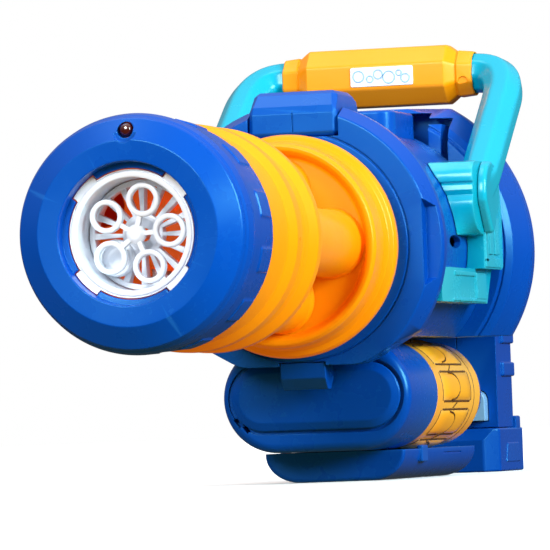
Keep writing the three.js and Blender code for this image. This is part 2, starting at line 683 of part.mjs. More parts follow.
function fan() {
  const blades = 8;
  const pieces = [rod(9, 0, 12, 1.5, 20)];
  for (let i = 0; i < blades; i += 1) {
    const angle = (i * 2 * Math.PI) / blades;
    pieces.push(box(8, FAN_R - 2, 1, 11, -0.8, 0.8).rotateY(-angle));
  }
  add('fan_impeller', join(...pieces), 'white', [0, FAN_Y, 0]);
  const duct = join(
    rod(FAN_R + 2, FAN_Y - 16, FAN_Y + 14, FAN_R, 28),
    rod(FAN_R + 2, FAN_Y + 14 - 1, FAN_Y + 16, 14, 28),
  );
  add('fan_duct', duct, 'white');
  const spindle = rod(1.1, FAN_Y - 0.5, FAN_Y + 20, 0, 10);
  add('fan_motor', join(rod(12, FAN_Y + 18, FAN_Y + 46, 0, 24), spindle), 'steel');
}

const PUMP_Y = 318;
const PUMP_Z = -20;

function pump() {
  const body = cut(rod(11, PUMP_Y, PUMP_Y + 12, 0, 28), rod(8.6, PUMP_Y - 1, PUMP_Y + 9, 0, 28));
  add('pump_body', body, 'white', [22, 0, PUMP_Z + 2]);
  const hub = rod(3, PUMP_Y - 3, PUMP_Y + 8, 0, 16);
  const rollers = [0, 1, 2].map((i) => {
    const angle = (i * 2 * Math.PI) / 3;
    return rod(2.4, PUMP_Y + 1, PUMP_Y + 8, 0, 12).translate(4.6 * Math.cos(angle), 0, 4.6 * Math.sin(angle));
  });
  add('pump_rotor', join(hub, ...rollers), 'black', [22, 0, PUMP_Z + 2]);
  add('circuit_board', box(-36, -16, 262 + 30, 262 + 66, -24, -22.4), 'green');
  add('speaker', rod(11, FAN_Y + 50, FAN_Y + 58, 0, 20).translate(-14, 0, 22), 'black');
}

// ---------------------------------------------------------------- assembly
muzzleHead();
bubbleCartridge();
bubbleWand();
wandDrive();
barrel();
frontFlange();
drum();
rearFlange();
rearGrip();
tank();
tankLatch();
base();
handle();
sideBracket('side_bracket_right', 1);
sideBracket('side_bracket_left', -1);
fan();
pump();

const MIDDLE_Y = (MUZZLE_FRONT + 538) / 2;
machine.position.set(0, -MIDDLE_Y, -FLOOR_Z);

export default machine;
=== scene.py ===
"""Looks of the toy bubble machine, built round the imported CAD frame.

Shapes are drawn in millimetres about the barrel axis, with y = 0 at the widest plane of the head,
z = 0 on the axis and the muzzle towards -y. TO_FRAME carries them into the frame, in metres.
An outline's corner is (u, v) or (u, v, radius), and a turned profile is of (radius, y).
"""
import json
import math

import bmesh
import bpy
from mathutils import Matrix, Vector


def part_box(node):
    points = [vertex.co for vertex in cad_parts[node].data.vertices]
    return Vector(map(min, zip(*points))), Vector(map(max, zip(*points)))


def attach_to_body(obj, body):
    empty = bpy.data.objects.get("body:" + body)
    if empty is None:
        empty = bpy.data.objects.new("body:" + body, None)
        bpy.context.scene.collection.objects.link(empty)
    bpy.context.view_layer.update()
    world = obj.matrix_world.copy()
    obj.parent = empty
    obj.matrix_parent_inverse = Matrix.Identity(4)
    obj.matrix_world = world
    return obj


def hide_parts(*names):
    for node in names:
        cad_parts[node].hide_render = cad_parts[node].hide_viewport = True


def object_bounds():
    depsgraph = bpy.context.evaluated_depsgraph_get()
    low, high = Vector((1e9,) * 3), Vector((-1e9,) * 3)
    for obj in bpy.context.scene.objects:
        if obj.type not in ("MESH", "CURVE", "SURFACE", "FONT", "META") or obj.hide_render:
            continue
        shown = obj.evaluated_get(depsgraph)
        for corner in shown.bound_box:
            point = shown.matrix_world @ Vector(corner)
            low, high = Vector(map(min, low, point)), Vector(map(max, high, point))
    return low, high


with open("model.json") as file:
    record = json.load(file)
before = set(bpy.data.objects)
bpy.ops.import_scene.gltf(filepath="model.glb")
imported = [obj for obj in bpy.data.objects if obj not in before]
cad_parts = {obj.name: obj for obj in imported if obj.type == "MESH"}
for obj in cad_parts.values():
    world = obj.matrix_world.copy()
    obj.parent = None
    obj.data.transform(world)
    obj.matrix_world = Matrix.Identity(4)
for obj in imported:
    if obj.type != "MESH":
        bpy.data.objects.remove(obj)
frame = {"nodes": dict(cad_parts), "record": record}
cad_lo, cad_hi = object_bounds()

MM = 0.001
TAU = 2 * math.pi
GAP = 0.3  # between neighbouring mouldings
WALL = 2.5  # of the body's shells
REST_Z = -90.5  # the plane the machine stands on
MUZZLE_FRONT = -12.9

record = frame["record"]
BODY_OF = {n: b for b, ns in record["behaviour"]["bodies"].items() for n in ns}
SLOT_OF = {s["node"]: s["material_slot"] for s in record["subparts"]}

head_lo, head_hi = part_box("muzzle_bezel")
ORIGIN = Vector((0, head_lo.y - MUZZLE_FRONT * MM, (head_lo.z + head_hi.z) / 2))
TO_FRAME = Matrix.Translation(ORIGIN) @ Matrix.Scale(MM, 4)


# ------------------------------------------------------------------ mesh helpers
def new_object(name, bm):
    bmesh.ops.remove_doubles(bm, verts=bm.verts, dist=1e-4)
    bmesh.ops.recalc_face_normals(bm, faces=bm.faces)
    mesh = bpy.data.meshes.new(name)
    bm.to_mesh(mesh)
    bm.free()
    obj = bpy.data.objects.new(name, mesh)
    bpy.context.scene.collection.objects.link(obj)
    return obj


def bake(obj):
    graph = bpy.context.evaluated_depsgraph_get()
    mesh = bpy.data.meshes.new_from_object(obj.evaluated_get(graph), depsgraph=graph)
    obj.modifiers.clear()
    obj.data = mesh
    return obj


def boolean(obj, tools, operation="DIFFERENCE"):
    for tool in tools:
        modifier = obj.modifiers.new("solid", "BOOLEAN")
        modifier.operation = operation
        modifier.object = tool
        modifier.solver = "EXACT"
    bake(obj)
    for tool in tools:
        bpy.data.objects.remove(tool)
    return obj


def attach(obj, parts):
    """Adds small parts that stand on an object to its mesh."""
    bm = bmesh.new()
    bm.from_mesh(obj.data)
    for part in parts:
        bm.from_mesh(part.data)
        bpy.data.objects.remove(part)
    bm.to_mesh(obj.data)
    bm.free()
    return obj


def bevel(obj, width, segments=3, angle=38):
    modifier = obj.modifiers.new("edges", "BEVEL")
    modifier.width = width
    modifier.segments = segments
    modifier.limit_method = "ANGLE"
    modifier.angle_limit = math.radians(angle)
    return bake(obj)


def fillet(points, radius, steps=4):
    """Rounds the corners of a closed outline. A point may carry its own radius as a third number."""
    rounded = []
    count = len(points)
    for i, point in enumerate(points):
        corner = Vector(point[:2])
        before = Vector(points[i - 1][:2]) - corner
        after = Vector(points[(i + 1) % count][:2]) - corner
        r = point[2] if len(point) > 2 else radius
        turn = before.angle(after)
        if r <= 0 or turn > math.pi - 0.06:
            rounded.append(tuple(corner))
            continue
        reach = min(r / math.tan(turn / 2), 0.48 * before.length, 0.48 * after.length)
        start = corner + before.normalized() * reach
        end = corner + after.normalized() * reach
        n = max(2, round(steps * (math.pi - turn) / (math.pi / 2)))
        for k in range(n + 1):
            t = k / n
            rounded.append(tuple(start * (1 - t) ** 2 + corner * 2 * t * (1 - t) + end * t * t))
    return rounded


def skin(bm, rings, closed=False):
    """Joins rings of vertices in order. An open run gets a cap at each end."""
    for a, b in zip(rings, rings[1:] + (rings[:1] if closed else [])):
        for k in range(len(a)):
            m = (k + 1) % len(a)
            bm.faces.new((a[k], b[k], b[m], a[m]))
    if not closed:
        bm.faces.new(rings[0])
        bm.faces.new(rings[-1])


def lofted(name, rings, closed=False):
    """Closed rings of points, each with as many points, skinned in order."""
    bm = bmesh.new()
    skin(bm, [[bm.verts.new(p) for p in ring] for ring in rings], closed)
    return new_object(name, bm)


def turned(name, profile, segments=144, shape=None):
    """A profile of (radius, y) turned about the barrel axis. shape(r, y, angle) may move a point."""
    bm = bmesh.new()
    rings = []
    for r, y in profile:
        if r < 1e-6:
            rings.append([bm.verts.new((0, y, 0))])
            continue
        ring = []
        for k in range(segments):
            angle = k * TAU / segments
            radius, station = shape(r, y, angle) if shape else (r, y)
            ring.append(bm.verts.new((radius * math.cos(angle), station, radius * math.sin(angle))))
        rings.append(ring)
    for i, a in enumerate(rings):
        b = rings[(i + 1) % len(rings)]
        if len(a) == 1 and len(b) == 1:
            continue
        for k in range(segments):
            m = (k + 1) % segments
            if len(a) == 1:
                bm.faces.new((a[0], b[k], b[m]))
            elif len(b) == 1:
                bm.faces.new((a[k], b[0], a[m]))
            else:
                bm.faces.new((a[k], b[k], b[m], a[m]))
    return new_object(name, bm)


PUT = {
    "x": lambda u, v, w: (w, u, v),
    "y": lambda u, v, w: (u, w, v),
    "z": lambda u, v, w: (u, v, w),
}


def extruded(name, outline, start, stop, axis="y"):
    """An outline of (u, v) drawn along an axis: (x, z) along y, (y, z) along x, (x, y) along z."""
    bm = bmesh.new()
    low = [bm.verts.new(PUT[axis](u, v, start)) for u, v in outline]
    high = [bm.verts.new(PUT[axis](u, v, stop)) for u, v in outline]
    bm.faces.new(low)
    bm.faces.new(high)
    for i in range(len(outline)):
        j = (i + 1) % len(outline)
        bm.faces.new((low[i], low[j], high[j], high[i]))
    return new_object(name, bm)


def block(x0, x1, y0, y1, z0, z1):
    return extruded("block", [(x0, y0), (x1, y0), (x1, y1), (x0, y1)], z0, z1, "z")


def arc(radius, start, stop, steps, u=0.0, v=0.0):
    angles = [start + (stop - start) * k / steps for k in range(steps + 1)]
    return [(u + radius * math.cos(a), v + radius * math.sin(a)) for a in angles]


def circle(radius, steps=48, u=0.0, v=0.0):
    return arc(radius, 0, TAU * (1 - 1 / steps), steps - 1, u, v)


def octagon(radius, softness, steps=5):
    angles = [math.radians(22.5 + 45 * k) for k in range(8)]
    return fillet([(radius * math.cos(a), radius * math.sin(a)) for a in angles], softness, steps)


def stations(section, levels):
    """Rings of section(inset), a list of (x, z), at each (y, inset)."""
    return [[(x, y, z) for x, z in section(inset)] for y, inset in levels]


def rod(radius, y0, y1, x=0.0, z=0.0, steps=32):
    return extruded("rod", circle(radius, steps, x, z), y0, y1)


def swept(name, path, section, side):
    """A closed section of (u, v) carried along a path. side is the first direction of u."""
    bm = bmesh.new()
    rings = []
    across = side.normalized()
    for i, point in enumerate(path):
        ahead = (path[min(i + 1, len(path) - 1)] - path[max(i - 1, 0)]).normalized()
        across = (across - ahead * across.dot(ahead)).normalized()
        up = ahead.cross(across)
        rings.append([bm.verts.new(point + across * u + up * v) for u, v in section])
    skin(bm, rings)
    return new_object(name, bm)


def bezier(a, b, c, steps):
    shares = [k / steps for k in range(steps + 1)]
    return [a * (1 - t) ** 2 + b * 2 * t * (1 - t) + c * t ** 2 for t in shares]


def move(obj, x=0.0, y=0.0, z=0.0):
    obj.data.transform(Matrix.Translation((x, y, z)))
    return obj


def spin(obj, angle):
    """Turns an object about the barrel axis, from +x towards +z."""
    obj.data.transform(Matrix.Rotation(-angle, 4, "Y"))
    return obj


def mirrored(obj):
    obj.data.transform(Matrix.Scale(-1, 4, (1, 0, 0)))
    obj.data.flip_normals()
    return obj


# ------------------------------------------------------------------ materials
def wire(tree, source, target):
    tree.links.new(source, target)


def noise(tree, coords, scale, detail=3.0, rough=0.55):
    node = tree.nodes.new("ShaderNodeTexNoise")
    node.inputs["Scale"].default_value = scale
    node.inputs["Detail"].default_value = detail
    node.inputs["Roughness"].default_value = rough
    wire(tree, coords, node.inputs["Vector"])
    return node.outputs["Fac"]


def remap(tree, value, low, high, from_low=0.3, from_high=0.7):
    node = tree.nodes.new("ShaderNodeMapRange")
    node.inputs["From Min"].default_value = from_low
    node.inputs["From Max"].default_value = from_high
    node.inputs["To Min"].default_value = low
    node.inputs["To Max"].default_value = high
    wire(tree, value, node.inputs["Value"])
    return node.outputs["Result"]


def mix(tree, factor, first, second):
    node = tree.nodes.new("ShaderNodeMix")
    node.data_type = "RGBA"
    wire(tree, factor, node.inputs["Factor"])
    for socket, colour in ((node.inputs[6], first), (node.inputs[7], second)):
        if isinstance(colour, tuple):
            socket.default_value = (*colour, 1)
        else:
            wire(tree, colour, socket)
    return node.outputs[2]


def plastic(name, colour, deep, worn, rough=0.24, grain=0.05, coat=0.3, metallic=0.0, specular=0.5,
            tint=(1.0, 1.0, 1.0), glow=0.0):
    """Moulded plastic: slow colour drift, a fine eggshell grain, faint scuffs and paler worn edges."""
    material = bpy.data.materials.new(name)
    material.use_nodes = True
    tree = material.node_tree
    shader = tree.nodes["Principled BSDF"]
    coords = tree.nodes.new("ShaderNodeTexCoord").outputs["Object"]

    drift = remap(tree, noise(tree, coords, 14, 2), 0, 1)
    scuffs = remap(tree, noise(tree, coords, 160, 8, 0.72), 0, 1, 0.56, 0.74)
    body = mix(tree, drift, deep, colour)
    geometry = tree.nodes.new("ShaderNodeNewGeometry")
    edge = remap(tree, geometry.outputs["Pointiness"], 0, 0.55, 0.53, 0.62)
    wire(tree, mix(tree, edge, body, worn), shader.inputs["Base Color"])

    slow = remap(tree, noise(tree, coords, 38, 4), rough * 0.85, rough * 1.2)
    scuffed = tree.nodes.new("ShaderNodeMath")
    scuffed.operation = "MULTIPLY_ADD"
    wire(tree, scuffs, scuffed.inputs[0])
    scuffed.inputs[1].default_value = 0.09
    wire(tree, slow, scuffed.inputs[2])
    wire(tree, scuffed.outputs[0], shader.inputs["Roughness"])

    fine = tree.nodes.new("ShaderNodeBump")
    fine.inputs["Strength"].default_value = grain
    fine.inputs["Distance"].default_value = 0.0002
    wire(tree, noise(tree, coords, 2600, 2), fine.inputs["Height"])
    sink = tree.nodes.new("ShaderNodeBump")
    sink.inputs["Strength"].default_value = 0.04
    sink.inputs["Distance"].default_value = 0.0012
    wire(tree, noise(tree, coords, 55, 2), sink.inputs["Height"])
    soft_edge = tree.nodes.new("ShaderNodeBevel")
    soft_edge.samples = 4
    soft_edge.inputs["Radius"].default_value = 0.0005
    wire(tree, soft_edge.outputs["Normal"], fine.inputs["Normal"])
    wire(tree, fine.outputs["Normal"], sink.inputs["Normal"])
    wire(tree, sink.outputs["Normal"], shader.inputs["Normal"])

    shader.inputs["Metallic"].default_value = metallic
    shader.inputs["Specular IOR Level"].default_value = specular
    shader.inputs["Coat Weight"].default_value = coat
    shader.inputs["Coat Roughness"].default_value = 0.12
    shader.inputs["Specular Tint"].default_value = (*tint, 1)
    shader.inputs["Emission Color"].default_value = (*colour, 1)
    shader.inputs["Emission Strength"].default_value = glow
    return material


# each with its colour, the deeper colour it drifts to and the colour of its worn edges
MATERIALS = {
    "blue_plastic": plastic(
        "blue_moulding", (0.0, 0.058, 0.39), (0.0, 0.05, 0.35), (0.01, 0.13, 0.52),
        rough=0.28, coat=0.04, specular=0.42, tint=(0.2, 0.82, 1.0)),
    "yellow_plastic": plastic(
        "yellow_moulding", (1.0, 0.32, 0.002), (0.97, 0.28, 0.001), (1.0, 0.44, 0.05),
        rough=0.32, coat=0.03, specular=0.35, tint=(1.0, 0.86, 0.5)),
    "teal_plastic": plastic(
        "teal_moulding", (0.0, 0.37, 0.53), (0.0, 0.33, 0.48), (0.08, 0.58, 0.72),
        coat=0.1, specular=0.45, tint=(0.6, 0.96, 1.0)),
    "white_plastic": plastic(
        "white_moulding", (0.82, 0.89, 0.98), (0.78, 0.85, 0.95), (0.90, 0.94, 0.98), rough=0.34),
    "pale_blue_plastic": plastic(
        "pale_blue_moulding", (0.28, 0.53, 0.82), (0.24, 0.47, 0.76), (0.5, 0.7, 0.9)),
    "amber_plastic": plastic(
        "amber_moulding", (1.0, 0.44, 0.02), (1.0, 0.30, 0.004), (1.0, 0.62, 0.2),
        rough=0.16, coat=0.0, specular=0.4, tint=(1.0, 0.8, 0.45)),
    "red_lens": plastic(
        "red_lens", (0.075, 0.006, 0.002), (0.03, 0.002, 0.001), (0.12, 0.012, 0.006),
        rough=0.06, grain=0.0, coat=1.0),
    "steel": plastic(
        "drawn_steel", (0.62, 0.63, 0.65), (0.5, 0.51, 0.53), (0.8, 0.8, 0.8),
        rough=0.3, coat=0.0, metallic=1.0),
    "black_plastic": plastic(
        "black_moulding", (0.02, 0.02, 0.022), (0.012, 0.012, 0.013), (0.07, 0.07, 0.07), rough=0.5),
    "cell_wrap": plastic(
        "cell_wrap", (0.05, 0.05, 0.06), (0.03, 0.03, 0.035), (0.12, 0.12, 0.13), rough=0.35),
    # the glow stands for daylight that comes through the thin yellow barrel
    "orange_plastic": plastic(
        "inner_orange", (0.95, 0.14, 0.01), (0.8, 0.09, 0.005), (1.0, 0.3, 0.05), rough=0.4, glow=0.3),
    "board_green": plastic(
        "board_green", (0.02, 0.15, 0.05), (0.012, 0.11, 0.035), (0.1, 0.3, 0.12), rough=0.4),
}
# painted shade: dark strips for the shadow under the amber pads' edges and in the grooves on and between them
PAD_SHADE = plastic(
    "painted_pad_shade", (0.10, 0.035, 0.004), (0.06, 0.02, 0.003), (0.16, 0.06, 0.01), rough=0.5, coat=0.0)
# painted shade: a near-black colour for the shadow inside a seam between parts
GAP_SHADE = plastic(
    "painted_gap_shade", (0.004, 0.008, 0.02), (0.003, 0.005, 0.012), (0.01, 0.02, 0.04), rough=0.6, coat=0.0)
LABEL_WHITE = plastic(
    "label_white", (0.86, 0.88, 0.9), (0.8, 0.83, 0.86), (0.93, 0.94, 0.95), rough=0.3, coat=0.5)

for node_name, node_object in frame["nodes"].items():
    node_object.data.materials.clear()
    node_object.data.materials.append(MATERIALS[SLOT_OF[node_name]])


def finish_piece(obj, node, replace=True, material=None, sharp=34):
    """Carries a piece into the frame, gives it its material and ties it to the CAD body of its node.

    A piece that replaces its node takes the node's name. One that doesn't is an addition and keeps its own.
    """
    bake(obj)
    obj.name = obj.data.name = node + "_skin" if replace else obj.name
    bm = bmesh.new()
    bm.from_mesh(obj.data)
    bmesh.ops.remove_doubles(bm, verts=bm.verts, dist=2e-3)
    bmesh.ops.dissolve_degenerate(bm, edges=bm.edges, dist=1e-3)
    bm.to_mesh(obj.data)
    bm.free()
    obj.data.transform(TO_FRAME)
    obj.data.shade_smooth()
    obj.data.set_sharp_from_angle(angle=math.radians(sharp))
    obj.data.materials.clear()
    obj.data.materials.append(material or MATERIALS[SLOT_OF[node]])
    weighted = obj.modifiers.new("normals", "WEIGHTED_NORMAL")
    weighted.keep_sharp = True
    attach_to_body(obj, BODY_OF[node])
    if replace:
        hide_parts(node)
    return obj


# ------------------------------------------------------------------ muzzle head
LAMP_Z = 35.8
LAMP_R = 2.5
LUG_HALF = math.radians(12.5)
LUG_HEIGHT = 2.1
SEAT_R = 24.7
PADS = 13  # raised pads round the head's side
PAD_START = math.radians(-14.5)
PAD_HALF = math.radians(6.4)
PAD_HEIGHT = 0.55


def in_lug(angle, extra=0.0):
    """True within one of the four bayonet lugs, which stand on the diagonals."""
    return abs(angle % (math.pi / 2) - math.pi / 4) < LUG_HALF + extra


def head_features(r, y, angle):
    """Seats for the lugs in the mouth, and raised pads round the side."""
    if y < -5.5 and r < SEAT_R and in_lug(angle, 0.02):
        return SEAT_R, y
    if r > 38.9 and 14.0 < y < 28.5:
        pitch = TAU / PADS
        offset = (angle - PAD_START + pitch / 2) % pitch - pitch / 2
        return r + (PAD_HEIGHT if abs(offset) < PAD_HALF else 0), y
    return r, y


def make_head():
    outer = fillet([
        (22.7, -5.8, 0.2), (22.7, -7.6, 0.35), (24.7, -7.8, 0.1), (25.0, -12.4, 0.5), (25.3, -12.6, 0.3),
        (32.3, -12.9, 0.7), (39.9, -7.6, 1.2), (40.5, -6.2, 0.3), (40.3, -5.6, 0.2), (41.2, -4.0, 0.6),
        (42.0, 0.0, 1.2), (41.75, 1.4, 0.3), (41.3, 1.9, 0.2), (41.6, 2.8, 0.3),
        (41.2, 13.6, 0), (41.18, 14.1, 0), (40.75, 28.4, 0), (40.73, 28.9, 0),
        (40.6, 31.2, 0.3), (39.8, 32.3, 0.6), (37.7, 32.3, 0.3), (38.6, 2.0, 0), (36.8, -5.2, 0),
    ], 0.5)
    shell = turned("head", outer, 360, head_features)
    dish = rod(4.1, -20, -10.9, 0, LAMP_Z - 0.4, 48)
    hole = rod(LAMP_R + 0.4, -20, 8, 0, LAMP_Z, 40)
    boolean(shell, [dish, hole])
    finish_piece(shell, "muzzle_bezel")

    dome = turned("lamp", fillet([
        (0, -2.6, 0), (1.7, -2.2, 1.2), (LAMP_R, -0.3, 1.0), (LAMP_R, 5.8, 0.2), (0, 5.8, 0)], 0.5, 8), 48)
    finish_piece(move(dome, 0, -8.4, LAMP_Z), "status_lamp")


RIBS = 16
RING_COUNT = 5
RING_START = math.radians(76)
RING_PITCH_R = 12.2  # from the barrel axis to the middle of a wand ring, and of the cup
CUP_ANGLE = math.radians(220)


def make_cartridge():
    def lugs(r, y, angle):
        return (r + LUG_HEIGHT, y) if r > 22.05 and y < -4.6 and in_lug(angle) else (r, y)

    ring = turned("ring", fillet([
        (19.6, -6.9, 0.5), (21.5, -6.9, 0.1), (21.6, -6.3, 0.1), (21.95, -6.3, 0.1), (22.08, -6.9, 0.02),
        (22.3, -6.9, 0.12), (22.3, -4.7, 0), (22.3, -4.5, 0), (22.3, 22, 0.3),
        (19.6, 22, 0.3)], 0.3), 360, lugs)
    finish_piece(ring, "cartridge_ring")

    grille = turned("grille", fillet([(17.3, 7.2), (19.3, 7.2), (19.3, 12.4), (17.3, 12.4)], 0.5), 96)
    hub = turned("hub", fillet([(2.3, 9.2), (5.6, 7.4), (7.4, 7.4), (7.4, 12.4), (2.3, 12.4)], 0.6), 64)
    ribs = []
    for i in range(RIBS):
        rib = extruded("rib", [(6.8, -0.6), (17.9, -1.15), (17.9, 1.15), (6.8, 0.6)], 7.6, 12.0)
        ribs.append(spin(rib, i * TAU / RIBS))
    boolean(grille, [hub] + ribs, "UNION")
    finish_piece(grille, "air_grille")

    cup = turned("cup", fillet([
        (0, 7.4, 0), (3.6, 7.4, 0.8), (4.7, 6.2, 0.5), (4.9, 4.7, 0.3), (6.2, 4.7, 0.5), (6.6, 5.6, 0.4),
        (6.6, 8.7, 0.3), (0, 8.7, 0)], 0.4), 64)
    boolean(cup, [rod(0.45, 0, 12, 1.7, -0.3, 16)])
    move(cup, RING_PITCH_R * math.cos(CUP_ANGLE), 0, RING_PITCH_R * math.sin(CUP_ANGLE))
    finish_piece(cup, "dip_cup")


def make_wand():
    hub = turned("wand", fillet([
        (0, -3.0, 0), (1.9, -3.0, 0.8), (3.4, -1.6, 0.8), (3.4, 0.5, 0.3), (1.6, 0.5, 0.2), (1.6, -1, 0.2),
        (0, -1, 0)], 0.4), 56)
    parts = []
    for i in range(RING_COUNT):
        angle = RING_START + i * TAU / RING_COUNT
        ring = turned("ring", fillet([(4.05, -2.5), (5.95, -2.5), (5.95, 0.5), (4.05, 0.5)], 0.75), 40)
        parts.append(move(ring, RING_PITCH_R * math.cos(angle), 0, RING_PITCH_R * math.sin(angle)))
        side = fillet([(2.6, -2.0), (6.7, -2.0), (6.7, 0.1), (2.6, 0.1)], 0.6)
        parts.append(spin(extruded("spoke", side, -0.85, 0.85, "z"), angle))
    boolean(hub, parts, "UNION")
    finish_piece(hub, "bubble_wand", sharp=40)


# ------------------------------------------------------------------ yellow barrel
TUBE_PITCH_R = 20.2
TUBE_R = 12.7
TUBE_FRONT, TUBE_REAR = 102.1, 195.7


def make_barrel():
    collar = fillet([
        (37, 22, 0.3), (37.2, 32.6, 0.2), (37.5, 34.6, 1.5), (37.7, 46, 2), (38.5, 60.5, 3),
        (40.9, 65.2, 2.4), (40.9, 71.6, 2.4), (38.4, 76.6, 2.6), (37.7, 80, 2), (37.7, 87.6, 2),
        (38.4, 91.0, 2.6), (40.9, 95.4, 2.0), (40.9, 100.6, 1.6), (39.4, 102.7, 0.8), (37.4, 102.7, 0.3),
        (37.2, 102.1, 0.2), (35.2, 102.1, 0.3), (34, 102.7, 0.3), (34, 33, 0.3), (35, 32.5, 0.3),
        (35, 22, 0.3),
    ], 0.8, 5)
    finish_piece(turned("collar", collar, 192), "barrel_collar")
    plate = turned("bulkhead", fillet([(0, 98.7, 0), (33.7, 98.7), (33.7, 101.7), (0, 101.7, 0)], 0.6), 120)
    finish_piece(plate, "collar_bulkhead")

    for i, side in enumerate(("right", "top", "left", "bottom")):
        angle = i * math.pi / 2
        tube = turned("tube", fillet([
            (TUBE_R - 2, TUBE_FRONT), (TUBE_R + 0.3, TUBE_FRONT, 0.5), (TUBE_R, TUBE_FRONT + 2.4, 0.5),
            (TUBE_R, TUBE_REAR - 2.5, 1.5), (TUBE_R + 0.9, TUBE_REAR, 0.3),
            (TUBE_R - 2, TUBE_REAR, 0.3)], 0.6, 6), 96)
        move(tube, TUBE_PITCH_R * math.cos(angle), 0, TUBE_PITCH_R * math.sin(angle))
        finish_piece(tube, "barrel_tube_" + side)

    dish = fillet([
        (0, 196, 0), (33.6, 196, 1.5), (34.8, 193.4, 0.8), (36.0, 191.6, 0.9), (37.8, 191.2, 0.9),
        (38.8, 193.2, 0.9), (39.0, 204, 1.6), (40.0, 207.6, 0.8), (41.9, 208.6, 0.9), (42.6, 210.4, 0.9),
        (42.6, 213, 0.6), (39.4, 215, 0.4), (39.4, 223.7, 0.3), (35.4, 223.7, 0.3), (35.4, 201, 0.5),
        (0, 201, 0),
    ], 0.6, 5)
    finish_piece(turned("dish", dish, 192), "barrel_dish")


# ------------------------------------------------------------------ blue body
FLANGE_FRONT = 224
FLANGE_FLAT_Z = -45.4
BODY_FLAT_Z = -35
LATCH_Y = 224.5
LATCH_X0, LATCH_X1 = -8.3, 9.3
TOP_HALF_W = 17.6


def make_front_flange():
    ring = turned("flange", fillet([
        (30, FLANGE_FRONT, 0.3), (43.4, FLANGE_FRONT, 0.3), (43.9, FLANGE_FRONT + 0.7, 0.2),
        (44.4, FLANGE_FRONT, 0.3), (52.6, FLANGE_FRONT, 1.0), (56.0, 232.6, 1.0), (56.0, 236.9, 0.5),
        (55.0, 237.7, 0.3), (30, 237.7, 0.3)], 0.5), 192)
    # the underside is flat in the middle and slopes up to the sides
    flat = extruded("flat", fillet([
        (-90, -120, 0), (90, -120, 0), (90, -8), (24, FLANGE_FLAT_Z), (-24, FLANGE_FLAT_Z),
        (-90, -8, 0)], 14, 8), 150, 450)
    notch = [(223, -17), (230.6, -13.6), (230.6, 13.6), (223, 17)]
    right = extruded("notch", notch, 49.5, 62, "x")
    left = extruded("notch", notch, -62, -49.5, "x")
    top = block(-TOP_HALF_W - GAP, TOP_HALF_W + GAP, 223, 239, 42, 62)
    pocket = block(-8.5, 8.5, LATCH_Y + 3, LATCH_Y + 11, -46, -39)
    seat = block(LATCH_X0 - 0.4, LATCH_X1 + 0.4, 200, LATCH_Y + 13.5, -60, -44)
    boolean(ring, [flat, right, left, top, pocket, seat])
    finish_piece(ring, "front_flange")

    outline = [(FLANGE_FRONT, 42.3), (FLANGE_FRONT, 52.8), (230.4, 60), (255, 60), (261.5, 57.6), (262, 50.3),
               (237.7, 50.3), (237.7, 42.3)]
    shape = extruded("top", outline, -TOP_HALF_W, TOP_HALF_W, "x")
    # the side faces lean inwards above the shoulder
    for v in shape.data.vertices:
        if v.co.z > 53:
            v.co.x *= 1 - 0.012 * (v.co.z - 53)
    bevel(shape, 1.7, 1, 40)
    bevel(shape, 0.3, 2, 25)
    boolean(shape, [block(-0.2, 0.2, 220, 224.45, 20, 52.6)])
    finish_piece(shape, "top_block", sharp=18)


DRUM_R = 50
DRUM_FRONT, DRUM_REAR = 238, 334.7
BUTTON_FRONT, BUTTON_REAR, BUTTON_HALF_W = 290, 331, 23.5
BUTTON_PLAY = 0.5


def make_drum():
    for node, sign in (("body_shell_right", 1), ("body_shell_left", -1)):
        edge = GAP / 2
        inner_r = DRUM_R - WALL
        low, inner_low = math.asin(BODY_FLAT_Z / DRUM_R), math.asin((BODY_FLAT_Z + WALL) / inner_r)
        outline = [(edge, BODY_FLAT_Z)]
        outline += arc(DRUM_R, low, math.pi / 2 - edge / DRUM_R, 72)
        outline += arc(inner_r, math.pi / 2 - edge / inner_r, inner_low, 72)
        outline += [(edge, BODY_FLAT_Z + WALL)]
        shell = extruded("drum", outline, DRUM_FRONT, DRUM_REAR)
        bevel(shell, 0.45, 2, 50)
        hole = block(-BUTTON_HALF_W - BUTTON_PLAY, BUTTON_HALF_W + BUTTON_PLAY, BUTTON_FRONT - BUTTON_PLAY,
                     BUTTON_REAR + BUTTON_PLAY, 30, 60)
        oval = [(277.5 + 9.5 * y, 1.2 + 2.5 * z) for y, z in circle(1, 32)]
        boolean(shell, [hole, extruded("port", oval, 30, 60, "x")])
        if sign < 0:
            mirrored(shell)
        finish_piece(shell, node)

    y0, y1, half = BUTTON_FRONT, BUTTON_REAR, BUTTON_HALF_W
    plan = fillet([(-half, y0, 8), (half, y0, 8), (half, y1, 5), (-half, y1, 5)], 5, 10)
    rings = []
    for z, inset in ((38, 0.3), (38.3, 0), (53.2, 0), (53.9, 0.2), (54.3, 0.6), (54.5, 1.4)):
        across, along = 1 - inset / half, 1 - 2 * inset / (y1 - y0)
        rings.append([(x * across, y0 + (y - y0) * along + inset, z) for x, y in plan])
    finish_piece(lofted("button", rings), "power_button")


def raised_rim(r, y, angle):
    """The rim stands a little higher in a short segment on each shoulder."""
    from_top = abs(math.degrees(angle) - 90)
    return r + (1.3 if r > 61 and 28 < from_top < 52 else 0), y


def cut_below(z):
    return block(-90, 90, 300, 450, -120, z)


def cut_above(z):
    return block(-90, 90, 300, 400, z, 120)


